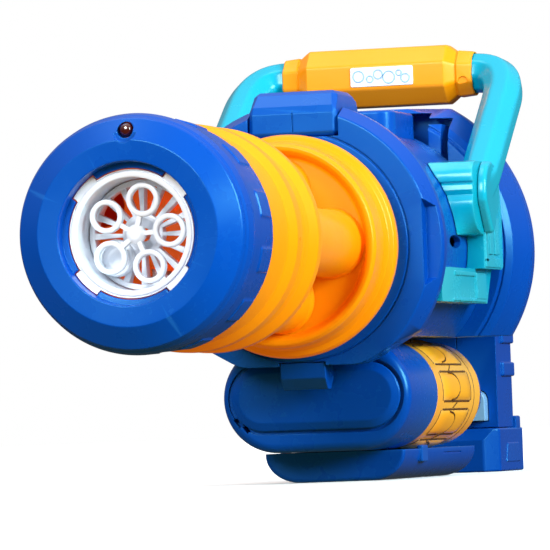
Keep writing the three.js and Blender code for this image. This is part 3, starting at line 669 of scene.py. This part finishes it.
def make_rear_flange():
    ring = turned("rear", fillet([
        (30, 335, 0.3), (55.6, 335, 0.4), (56.4, 336.6, 0.3), (57.2, 336.2, 0.3), (60, 338.4, 1.2),
        (64.1, 351.0, 0.8), (64.4, 352.4, 0.2), (64.0, 352.8, 0.1), (64.4, 353.3, 0.2), (64.5, 357.0, 0.2),
        (64.0, 357.4, 0.1), (64.4, 357.9, 0.2), (64.0, 360, 0.8), (62.0, 361.7, 0.8),
        (30, 361.7, 0.3)], 0.5), 216, raised_rim)
    pockets = [cut_below(BODY_FLAT_Z), cut_above(57)]
    # behind the button: an open slot at each side, and a framed post beyond it
    for sign in (1, -1):
        for x0, x1, z0, z1 in ((18, 27.6, 38, 55), (32.6, 35.4, 34, 52.8), (26, 35.4, 50.2, 52.8)):
            pockets.append(block(min(sign * x0, sign * x1), max(sign * x0, sign * x1), 330, 351, z0, z1))
    boolean(ring, pockets)
    finish_piece(ring, "rear_flange")

    cap = turned("cap", fillet([
        (15, 392), (36, 392, 2.5), (42, 378, 4), (46, 366, 3), (61, 362, 0.8), (40, 362, 0.4), (38, 378, 1),
        (34, 389, 1), (15, 389)], 0.6), 144)
    boolean(cap, [cut_below(BODY_FLAT_Z + 0.5), cut_above(56)])
    finish_piece(cap, "rear_cap")


# ------------------------------------------------------------------ rear grip, trigger, battery bay
TAIL_HALF_W = 17
GRIP_FRONT, GRIP_REAR = 494, 524
TAIL_FRONT, TAIL_REAR = 392.3, 528
TAIL_TOP_Z, TAIL_BOTTOM_Z = 27, -28
DOOR_THICK = 3
FOOT_TOP_Z = -72


def trigger_outline(grow):
    """The trigger's outline, grown by its clearance for the window it slides in."""
    half_w, low, high = 12.6 + grow, -68.8 - grow, -55.6 + grow
    return fillet([(-half_w, low, 0.5), (half_w, low, 0.5), (half_w, high), (-half_w, high)], 5.5, 8)


def make_tail():
    outline = fillet([
        (TAIL_FRONT, TAIL_BOTTOM_Z, 0.6), (GRIP_FRONT, TAIL_BOTTOM_Z, 7), (GRIP_FRONT, FOOT_TOP_Z + GAP, 0.3),
        (GRIP_REAR, FOOT_TOP_Z + GAP, 0.3), (GRIP_REAR, TAIL_BOTTOM_Z, 0.3), (TAIL_REAR, TAIL_BOTTOM_Z, 0.6),
        (TAIL_REAR, TAIL_TOP_Z, 0.6), (TAIL_FRONT, TAIL_TOP_Z, 0.6)], 0.5, 6)
    floor_z, top_z, foot_z = TAIL_BOTTOM_Z + WALL, TAIL_TOP_Z - WALL, FOOT_TOP_Z + GAP + WALL
    hollow = [
        (TAIL_FRONT + WALL, floor_z), (GRIP_FRONT + WALL, floor_z), (GRIP_FRONT + WALL, foot_z),
        (GRIP_REAR - WALL, foot_z), (GRIP_REAR - WALL, floor_z), (TAIL_REAR + 1, floor_z),
        (TAIL_REAR + 1, top_z), (TAIL_FRONT + WALL, top_z)]
    for node, sign in (("tail_shell_right", 1), ("tail_shell_left", -1)):
        shell = extruded("tail", outline, GAP / 2, TAIL_HALF_W, "x")
        bevel(shell, 0.9, 3, 52)
        boolean(shell, [extruded("hollow", hollow, -1, TAIL_HALF_W - WALL, "x"),
                        extruded("window", trigger_outline(0.35), GRIP_FRONT - 1, GRIP_FRONT + 4)])
        ribs = []
        for rib_z in (-33, -47):
            rib = extruded("rib", fillet([(9, GRIP_FRONT + 9), (TAIL_HALF_W + 1.3, GRIP_FRONT + 9),
                                          (TAIL_HALF_W + 1.3, GRIP_REAR + 1.2), (9, GRIP_REAR + 1.2)], 1.4),
                           rib_z - 3, rib_z + 3, "z")
            bevel(rib, 0.8, 3, 50)
            boolean(rib, [block(-1, TAIL_HALF_W - 0.5, GRIP_FRONT, GRIP_REAR - 0.5, -80, 0)])
            ribs.append(rib)
        attach(shell, ribs)
        if sign < 0:
            mirrored(shell)
        finish_piece(shell, node)

    door = extruded("door", fillet([
        (-TAIL_HALF_W, TAIL_BOTTOM_Z), (TAIL_HALF_W, TAIL_BOTTOM_Z), (TAIL_HALF_W, TAIL_TOP_Z),
        (-TAIL_HALF_W, TAIL_TOP_Z)], 2.2), TAIL_REAR + GAP, TAIL_REAR + GAP + DOOR_THICK)
    bevel(door, 0.6, 3, 50)
    boolean(door, [block(-7, 7, 530.4, 534, 19, 23)])
    finish_piece(door, "battery_door")

    plan = [(-18, 492), (-12, 486), (12, 486), (18, 492), (18, 538), (-18, 538)]
    foot = extruded("foot", plan, REST_Z, FOOT_TOP_Z, "z")
    bevel(foot, 0.9, 3, 30)
    boolean(foot, [extruded("slope", [(480, -77), (486, -77), (491, -71), (480, -71)], -30, 30, "x")])
    for side in (-1, 1):
        panel = block(17.6, 18.4, 503, 531, -86.5, -78.5)
        for v in panel.data.vertices:
            if v.co.z > -80:
                v.co.y += 3.0 if v.co.y < 510 else -3.0
        bevel(panel, 0.35, 2, 40)
        attach(foot, [panel if side > 0 else mirrored(panel)])
    ledge = block(-18, 18, 525, 534, -72.6, -67)
    bevel(ledge, 0.8, 2, 40)
    attach(foot, [ledge])
    finish_piece(foot, "grip_foot")

    trigger = extruded("trigger", trigger_outline(0), GRIP_FRONT - 6, GRIP_FRONT + 6)
    bevel(trigger, 1.2, 4, 50)
    finish_piece(trigger, "trigger")


# ------------------------------------------------------------------ tank, latch and tray
TANK_Z = -57.2
TANK_HALF_W, TANK_HALF_H = 37.4, 21.3
AMBER_HALF_H = TANK_HALF_H - 0.4
TANK_FRONT, AMBER_FRONT, AMBER_REAR, TANK_REAR = 245, 293, 369, 398


def stadium(half_w, half_h, inset=0.0, steps=40):
    """The tank's section as (x, z): two flats between two half circles."""
    flat = half_w - half_h
    r = half_h - inset
    right = arc(r, -math.pi / 2, math.pi / 2, steps, flat, TANK_Z)
    return right + arc(r, math.pi / 2, 1.5 * math.pi, steps, -flat, TANK_Z)


def stadium_cup(name, floor_y, mouth_y, half_w, half_h, roundness):
    """A cup of stadium section whose closed end is rounded over."""
    way = math.copysign(1, mouth_y - floor_y)
    rings = []
    for k in range(9):
        a = k * math.pi / 16
        rings.append((floor_y + way * roundness * (1 - math.sin(a)), roundness * (1 - math.cos(a))))
    rings = rings[::-1]
    levels = rings + [(mouth_y, 0.0), (mouth_y, WALL), (floor_y + way * 3, WALL + roundness * 0.4)]
    return lofted(name, stations(lambda inset: stadium(half_w, half_h, inset), levels))


TANK_LAP = TAU * AMBER_HALF_H + 4 * (TANK_HALF_W - AMBER_HALF_H)


def on_tank(s, y, lift):
    """The point at arc length s round the tank's section, from the +x side upwards."""
    r = AMBER_HALF_H
    flat = TANK_HALF_W - r
    quarter = r * math.pi / 2
    s = (s + quarter) % TANK_LAP - quarter
    if s <= quarter:
        a = s / r
        return (flat + (r + lift) * math.cos(a), y, TANK_Z + (r + lift) * math.sin(a))
    if s <= quarter + 2 * flat:
        return (flat - (s - quarter), y, TANK_Z + r + lift)
    if s <= 3 * quarter + 2 * flat:
        a = math.pi / 2 + (s - quarter - 2 * flat) / r
        return (-flat + (r + lift) * math.cos(a), y, TANK_Z + (r + lift) * math.sin(a))
    return (-flat + (s - 3 * quarter - 2 * flat), y, TANK_Z - r - lift)


def ribbon(bm, line, width, lift, depth):
    """A thin strip along a line of (s, y) points that lies on the tank."""
    left, right = [], []
    for i, (s, y) in enumerate(line):
        ahead = Vector(line[min(i + 1, len(line) - 1)]) - Vector(line[max(i - 1, 0)])
        side = Vector((-ahead.y, ahead.x)).normalized() * width / 2
        left.append((s + side.x, y + side.y))
        right.append((s - side.x, y - side.y))
    rows = []
    for (ls, ly), (rs, ry) in zip(left, right):
        rows.append([bm.verts.new(on_tank(ls, ly, lift)), bm.verts.new(on_tank(rs, ry, lift)),
                     bm.verts.new(on_tank(rs, ry, -depth)), bm.verts.new(on_tank(ls, ly, -depth))])
    skin(bm, rows)


def make_tank_front():
    cap = stadium_cup("cap", TANK_FRONT, AMBER_FRONT - GAP, TANK_HALF_W, TANK_HALF_H, 3.6)
    boolean(cap, [extruded("recess", stadium(34.9, 14.2), 240, TANK_FRONT + 1.3)])
    slashes = []
    for k in (0, 1):
        tool = block(-0.7, 0.7, 240, 249.5, -2.0, 2.0)
        tool.data.transform(Matrix.Rotation(math.radians(-35), 4, "Y"))
        slashes.append(move(tool, -31.4 + 3.0 * k, 0, -66.4 - 2.1 * k))
    boolean(cap, slashes)
    finish_piece(cap, "tank_front_cap")

    proud = [(-0.8, 0.0), (0.1, 0.0), (0.4, 0.15), (0.6, 0.5), (1.6, 2.7), (1.75, 3.1), (1.8, 3.6)]
    levels = [(TANK_FRONT - height, inset) for height, inset in proud]
    panel = lofted("panel", stations(lambda inset: stadium(33.5, 12.8, inset), levels))
    finish_piece(panel, "tank_front_panel")


ROUNDS = 13  # cartridge-shaped pads round the amber shell
ROUND_PITCH = TANK_LAP / ROUNDS
ROUND_HALF = ROUND_PITCH / 2 - 1.9
ROUND_FRONT, ROUND_REAR = AMBER_FRONT + 9.5, AMBER_REAR - 18


def add_pad(bm, middle):
    """A pad that swells along its middle line and sinks into the shell at its edges."""
    rows = []
    for k in range(13):
        y = ROUND_FRONT + (ROUND_REAR - ROUND_FRONT) * k / 12
        rise = (0.1, 0.75, 1.05)[min(k, 12 - k, 2)]
        ring = []
        for m in range(13):
            u = -1 + m / 6
            ring.append(bm.verts.new(on_tank(middle + ROUND_HALF * u, y, 0.05 + rise * (1 - abs(u) ** 5))))
        ring.append(bm.verts.new(on_tank(middle + ROUND_HALF, y, -0.6)))
        ring.append(bm.verts.new(on_tank(middle - ROUND_HALF, y, -0.6)))
        rows.append(ring)
    skin(bm, rows)


def add_pad_shade_lines(bm, middle):
    """Dark strips that paint the shade on and round a pad: the shadow along its edges and ends, and the shade
    in the grooves across it and beside it.
    """
    # the nose of the cartridge, drawn as an arc across the pad
    arch = [(middle + (ROUND_HALF - 0.5) * math.sin(a), ROUND_FRONT + 26 - 12 * (1 - math.cos(a)))
            for a in (math.pi / 2 * (k / 10 - 1) for k in range(21))]
    ribbon(bm, arch, 0.5, 1.16, 0.2)
    run = ROUND_REAR - ROUND_FRONT - 4
    for side in (-1, 1):
        edge = [(middle + side * (ROUND_HALF + 0.25), ROUND_FRONT + 2 + run * k / 6) for k in range(7)]
        ribbon(bm, edge, 0.75, 0.3, 0.3)
    across = [middle + ROUND_HALF * (k / 5 - 1) for k in range(11)]
    ribbon(bm, [(s, ROUND_FRONT - 0.4) for s in across], 0.35, 0.2, 0.3)
    ribbon(bm, [(s, ROUND_REAR + 0.4) for s in across], 0.4, 0.2, 0.3)
    ribbon(bm, [(middle + ROUND_PITCH * (k / 6 - 0.5), ROUND_REAR + 6.5) for k in range(7)], 0.3, 0.16, 0.3)
    between = [(middle + ROUND_PITCH / 2 + 1.1 * (k / 3 - 1), ROUND_FRONT + 19 + k) for k in range(7)]
    ribbon(bm, between, 0.45, 0.2, 0.3)


def make_tank_shell():
    levels = ((AMBER_FRONT, 2.0), (AMBER_FRONT, 0.35), (AMBER_FRONT + 0.4, 0), (AMBER_REAR - 0.4, 0),
              (AMBER_REAR, 0.35), (AMBER_REAR, 2.0))
    rings = stations(lambda inset: stadium(TANK_HALF_W, AMBER_HALF_H, inset), levels)
    finish_piece(lofted("amber", rings, closed=True), "solution_tank")

    pads = bmesh.new()
    lines = bmesh.new()
    for i in range(ROUNDS):
        middle = 2.6 + i * ROUND_PITCH
        add_pad(pads, middle)
        add_pad_shade_lines(lines, middle)
    finish_piece(new_object("solution_tank_rounds", pads), "solution_tank", replace=False)
    # the pads' painted shade: dark strips for the shadows along their edges and in their grooves
    finish_piece(new_object("solution_tank_shade_lines", lines), "solution_tank", replace=False, material=PAD_SHADE)


def make_tank_rear():
    # a near-black sheet in the seam between the front cap and the amber shell: painted shadow for the gap
    seam = lofted("tank_seam_shade", stations(lambda inset: stadium(TANK_HALF_W, TANK_HALF_H, inset),
                                        ((AMBER_FRONT - 0.6, 0.55), (AMBER_FRONT + 0.3, 0.55))))
    finish_piece(seam, "tank_front_cap", replace=False, material=GAP_SHADE)

    rear = stadium_cup("rear", TANK_REAR, AMBER_REAR + GAP, TANK_HALF_W - 4.5, TANK_HALF_H - 3.5, 8.0)
    finish_piece(rear, "tank_rear_cap")


def make_latch():
    tab = extruded("latch", fillet([
        (LATCH_Y, -44.3, 0.2), (LATCH_Y, -50.2), (LATCH_Y + 4, -54.4), (LATCH_Y + 9, -54.4),
        (LATCH_Y + 13, -50), (LATCH_Y + 13, -44.3, 0.2)], 0.9), LATCH_X0, LATCH_X1, "x")
    bevel(tab, 0.8, 3, 50)
    boolean(tab, [block(-7.6, 8, LATCH_Y + 4, LATCH_Y + 9, -45.3, -41.3)], "UNION")
    finish_piece(tab, "tank_latch")


def tray_section(inset):
    """Flat on top and underneath, with the lower corners rounded."""
    top, low, half_w = TANK_Z - TANK_HALF_H - GAP, REST_Z + inset, 28.1 - inset
    wide, tall = 14 - inset, 11 - inset
    turns = [k * math.pi / 28 for k in range(15)]
    left = [(-half_w + wide * (1 - math.cos(a)), low + tall * (1 - math.sin(a))) for a in turns]
    right = [(half_w - wide * (1 - math.sin(a)), low + tall * (1 - math.cos(a))) for a in turns]
    return [(-half_w, top)] + left + right + [(half_w, top)]


def make_tray():
    ends = []
    for k in range(6):
        a = k * math.pi / 10
        ends.append((1.6 * (1 - math.sin(a)), 1.6 * (1 - math.cos(a))))
    levels = [(272 + run, inset) for run, inset in ends[::-1]] + [(397.5 - run, inset) for run, inset in ends]
    tray = lofted("tray", stations(tray_section, levels))
    boolean(tray, [block(27.5, 30, 340, 372, -81.2, -80.6), block(-30, -27.5, 340, 372, -81.2, -80.6)])
    lugs = []
    for sign in (1, -1):
        lug = block(26.6, 28.9, 299, 309, -84, -77.4)
        bevel(lug, 0.6, 2, 50)
        lugs.append(lug if sign > 0 else mirrored(lug))
    attach(tray, lugs)
    finish_piece(tray, "base_tray")


# ------------------------------------------------------------------ carry handle, grip and brackets
HANDLE_X, HANDLE_GRIP_Y, HANDLE_GRIP_Z = 54.5, 374, 72
HANDLE_FOOT_Y, HANDLE_FOOT_Z = 296, 20
HANDLE_R = 8.3
SOCKET_R = HANDLE_R + 0.15
BRACKET_OUT = 57


def bail_path():
    """From the right foot up, across and down to the left foot."""
    foot = Vector((HANDLE_X, HANDLE_FOOT_Y, HANDLE_FOOT_Z))
    corner = Vector((HANDLE_X - 1, HANDLE_GRIP_Y, HANDLE_GRIP_Z))
    down = (foot - corner).normalized()
    inboard = Vector((HANDLE_X - 15, HANDLE_GRIP_Y, HANDLE_GRIP_Z))
    leg = [foot.lerp(corner + down * 24, k / 6) for k in range(6)]
    half = leg + bezier(corner + down * 24, corner, inboard, 18)
    return half + [Vector((-p.x, p.y, p.z)) for p in half[::-1]]


def make_handle():
    path = bail_path()
    bail = swept("bail", path, octagon(HANDLE_R, 3.2, 6), Vector((1, 0, 0)))
    # the outer face of each leg slopes down into its paddle
    along = (path[1] - path[0]).normalized()
    for v in bail.data.vertices:
        run = (v.co.y - path[0].y) * along.y + (v.co.z - path[0].z) * along.z
        reach = BRACKET_OUT + 3.4 + max(0, run) * 0.12
        if abs(v.co.x) > reach:
            v.co.x = math.copysign(reach, v.co.x)
    paddles = []
    for sign in (1, -1):
        cy, cz, r = HANDLE_FOOT_Y + 5, 20.5, 12.5
        drop = arc(r, math.radians(-18), math.radians(198), 40, cy, cz)
        drop += [(cy - 2.5, 5.6), (cy, 4.6), (cy + 2.5, 5.6)]
        paddle = extruded("paddle", drop, BRACKET_OUT - 3, BRACKET_OUT + 3.6, "x")
        bevel(paddle, 1.6, 4, 50)
        boolean(paddle, [block(BRACKET_OUT - 9, BRACKET_OUT + GAP, 250, 350, -20, 60)])
        paddles.append(paddle if sign > 0 else mirrored(paddle))
    boolean(bail, paddles, "UNION")
    finish_piece(bail, "carry_handle")


GRIP_R = 12.9  # to the corners of the octagon
LABEL_X = 3


def make_grip():
    end = [(28.4, GRIP_R), (29.6, 12.1), (31.8, 10.3), (32.6, 9.7), (33.4, 10.2), (39.0, 9.6), (39.5, 9.0)]
    profile = [(-x, r) for x, r in end[::-1]] + end
    split = {"front": block(-60, 60, -GAP / 2, 40, -40, 40), "rear": block(-60, 60, -40, GAP / 2, -40, 40)}
    screw = extruded("screw", circle(1.9, 28, 35.8, -3.4), -20, -8.7)
    for side, cutter in split.items():
        grip = lofted("grip", [[(x, v, w) for v, w in octagon(r, 2.4)] for x, r in profile])
        bore = extruded("bore", circle(SOCKET_R, 48), -60, 60, "x")
        boolean(grip, [bore, cutter] + ([screw] if side == "front" else []))
        move(grip, 0, HANDLE_GRIP_Y, HANDLE_GRIP_Z)
        finish_piece(grip, "grip_" + side, sharp=26)


def make_label():
    """A white label with a few bubbles in relief, on the front flat of the grip."""
    flat = GRIP_R * math.cos(math.radians(22.5))
    outline = fillet([(-13, -3.9), (13, -3.9), (13, 3.9), (-13, 3.9)], 0.8)
    label = extruded("grip_label", outline, -flat - 0.25, -flat + 0.3)
    move(label, LABEL_X, HANDLE_GRIP_Y, HANDLE_GRIP_Z)
    finish_piece(label, "grip_front", replace=False, material=LABEL_WHITE)
    circles = bmesh.new()
    steps = 28
    line = 0.55
    for x, z, r in ((-9.6, 0.3, 2.5), (-4.9, -0.9, 1.6), (-1.4, 0.9, 2.1), (3.0, -0.4, 2.7), (7.2, 1.2, 1.4),
                    (9.8, -1.0, 2.0)):
        outer, inner = ([circles.verts.new((u, -flat - 0.36, v)) for u, v in circle(radius, steps, x, z)]
                        for radius in (r, r - line))
        for k in range(steps):
            m = (k + 1) % steps
            circles.faces.new((outer[k], outer[m], inner[m], inner[k]))
    rings = new_object("grip_label_bubbles", circles)
    solid = rings.modifiers.new("solid", "SOLIDIFY")
    solid.thickness = 0.16
    solid.offset = 0
    bake(rings)
    move(rings, LABEL_X, HANDLE_GRIP_Y, HANDLE_GRIP_Z)
    pale_blue = "pale_blue_plastic"
    finish_piece(rings, "grip_front", replace=False, material=MATERIALS[pale_blue])


PLATE_OUT, PLATE_TOP = 53, -9.2  # the bracket's thin lower plate
BRACKET_FRONT, BRACKET_REAR, BRACKET_LOW_Z = 239, 318, -22.6


def make_brackets():
    # outlines of (y, z): round the rear and over the two beads on the nose, then the belly, then the plate
    before = [(BRACKET_FRONT, BRACKET_LOW_Z), (BRACKET_REAR, BRACKET_LOW_Z), (327, -10), (332, -8), (332, 12),
              (329, 26), (322, 32), (317, 33), (290, 33), (284.8, 32.4), (281.8, 29.8), (280.8, 27.0),
              (281.2, 24.8), (282.3, 24.1), (281.2, 23.3), (280.8, 21.4), (281.8, 19.4), (280.6, 17.6)]
    belly = [(p.x, p.y) for p in bezier(Vector((280.2, 16.2)), Vector((281, 5.5)), Vector((298, 3.9)), 12)]
    after = [(298, 3.6), (298, PLATE_TOP), (BRACKET_FRONT, PLATE_TOP)]
    for node, sign in (("side_bracket_right", 1), ("side_bracket_left", -1)):
        rings = []
        for x in (BRACKET_OUT, 55.6, 54.2, 52.8, 51.4, DRUM_R, 45, 34):
            # the belly sweeps forward from the outer face to the drum
            share = min(1, (BRACKET_OUT - x) / (BRACKET_OUT - DRUM_R))
            swept_belly = [(y - (y - belly[0][0]) * share, z) for y, z in belly]
            rings.append([(x, y, z) for y, z in before + swept_belly + after])
        slab = lofted("bracket", rings)
        bevel(slab, 0.4, 2, 50)
        core = turned("core", [(0, 200), (DRUM_R + GAP, 200), (DRUM_R + GAP, 400), (0, 400)], 144)
        skirt = block(PLATE_OUT, 60, 230, 400, -30, PLATE_TOP)
        socket = swept("socket", bail_path()[:8], circle(SOCKET_R, 40), Vector((1, 0, 0)))
        boolean(slab, [core, skirt, socket])
        plates = []
        # raised ribs and panels as (front, rear, low, high, outer face)
        for y0, y1, z0, z1, out in (
                (299.5, 303.5, -6.5, 8, 57.5), (306, 312.5, -3.5, 9, 57.7), (315, 323, -3.5, 11, 57.7),
                (299.5, 327, -8.6, -5.0, 57.5), (298.5, 315, -21.0, -10.6, 53.6),
                (262, 296, -12.2, -10.4, 53.5), (258, 315, -22.2, -21.0, 53.5)):
            plate = block(50.8, out, y0, y1, z0, z1)
            bevel(plate, 0.3, 2, 50)
            plates.append(plate)
        attach(slab, plates)
        if sign < 0:
            mirrored(slab)
        finish_piece(slab, node)


# ------------------------------------------------------------------ build
make_head()
make_cartridge()
make_wand()
make_barrel()
make_front_flange()
make_drum()
make_rear_flange()
make_tail()
make_tank_front()
make_tank_shell()
make_tank_rear()
make_latch()
make_tray()
make_handle()
make_grip()
make_label()
make_brackets()


# ------------------------------------------------------------------ stage, lights and camera
def make_floor():
    bm = bmesh.new()
    bmesh.ops.create_circle(bm, cap_ends=True, segments=96, radius=14)
    floor = new_object("floor", bm)
    material = bpy.data.materials.new("floor_pale")
    material.use_nodes = True
    tree = material.node_tree
    coords = tree.nodes.new("ShaderNodeTexCoord").outputs["Object"]
    shader = tree.nodes["Principled BSDF"]
    cloud = remap(tree, noise(tree, coords, 3), 0, 1)
    wire(tree, mix(tree, cloud, (0.93, 0.935, 0.94), (0.95, 0.95, 0.95)), shader.inputs["Base Color"])
    shader.inputs["Roughness"].default_value = 0.9
    shader.inputs["Specular IOR Level"].default_value = 0.1
    # the floor glows faintly further out, so that it meets the pale background without a line
    away = tree.nodes.new("ShaderNodeVectorMath")
    away.operation = "LENGTH"
    wire(tree, coords, away.inputs[0])
    shader.inputs["Emission Color"].default_value = (1, 1, 1, 1)
    wire(tree, remap(tree, away.outputs["Value"], 0.25, 0.9, 0.35, 1.3), shader.inputs["Emission Strength"])
    floor.data.materials.append(material)
    # no bounce from the floor, so that the undersides stay deep in colour
    floor.visible_diffuse = floor.visible_glossy = False


def area_light(name, position, target, size, power, colour=(1, 1, 1)):
    data = bpy.data.lights.new(name, "AREA")
    data.shape = "DISK"
    data.size = size
    data.energy = power
    data.color = colour
    light = bpy.data.objects.new(name, data)
    bpy.context.scene.collection.objects.link(light)
    light.location = position
    light.rotation_mode = "QUATERNION"
    light.rotation_quaternion = (Vector(target) - Vector(position)).to_track_quat("-Z", "Y")
    return light


def make_world():
    """A white background for the camera, and a sky for the light that is bright overhead and dark below."""
    world = bpy.data.worlds.new("studio")
    bpy.context.scene.world = world
    world.use_nodes = True
    tree = world.node_tree
    background = tree.nodes["Background"]
    coords = tree.nodes.new("ShaderNodeTexCoord")
    split = tree.nodes.new("ShaderNodeSeparateXYZ")
    wire(tree, coords.outputs["Generated"], split.inputs[0])
    sky = remap(tree, split.outputs["Z"], 0.06, 0.75, -0.02, 0.9)
    path = tree.nodes.new("ShaderNodeLightPath")
    strength = tree.nodes.new("ShaderNodeMix")
    wire(tree, path.outputs["Is Camera Ray"], strength.inputs["Factor"])
    wire(tree, sky, strength.inputs["A"])
    strength.inputs["B"].default_value = 1.0
    wire(tree, strength.outputs[0], background.inputs["Strength"])
    background.inputs["Color"].default_value = (1, 1, 1, 1)


CAMERA_AT = (0.56408, -2.26097, 0.02106)
CAMERA_AHEAD = (-0.2496, 0.9680, 0.0258)
CAMERA_RIGHT = (0.9675, 0.2504, -0.0363)
CAMERA_LENS = 392.7


def make_camera():
    data = bpy.data.cameras.new("camera")
    data.sensor_width = 36
    data.lens = CAMERA_LENS
    data.clip_start, data.clip_end = 0.1, 50
    camera = bpy.data.objects.new("camera", data)
    bpy.context.scene.collection.objects.link(camera)
    forward = Vector(CAMERA_AHEAD).normalized()
    right = Vector(CAMERA_RIGHT)
    right = (right - forward * right.dot(forward)).normalized()
    up = right.cross(forward)
    basis = Matrix((right, up, -forward)).transposed().to_4x4()
    camera.matrix_world = Matrix.Translation(CAMERA_AT) @ basis
    bpy.context.scene.camera = camera


make_floor()
make_world()
middle = (cad_lo + cad_hi) / 2
area_light("key", (2.1, -0.8, 0.9), middle, 1.2, 88, (0.78, 1.0, 1.0))
area_light("front", (-0.3, -2.75, 1.2), middle, 1.2, 72)
area_light("top", (-0.45, -0.2, 1.9), middle, 1.2, 9)
# a warm glow from below, for the undersides of the yellow parts, that makes no reflection
bounce = area_light("bounce", (0.1, -0.3, 0.004), (0.1, -0.25, 1.0), 0.9, 1.1, (1.0, 0.6, 0.1))
bounce.visible_camera = bounce.visible_glossy = False
make_camera()
bpy.context.scene.view_settings.view_transform = "Standard"
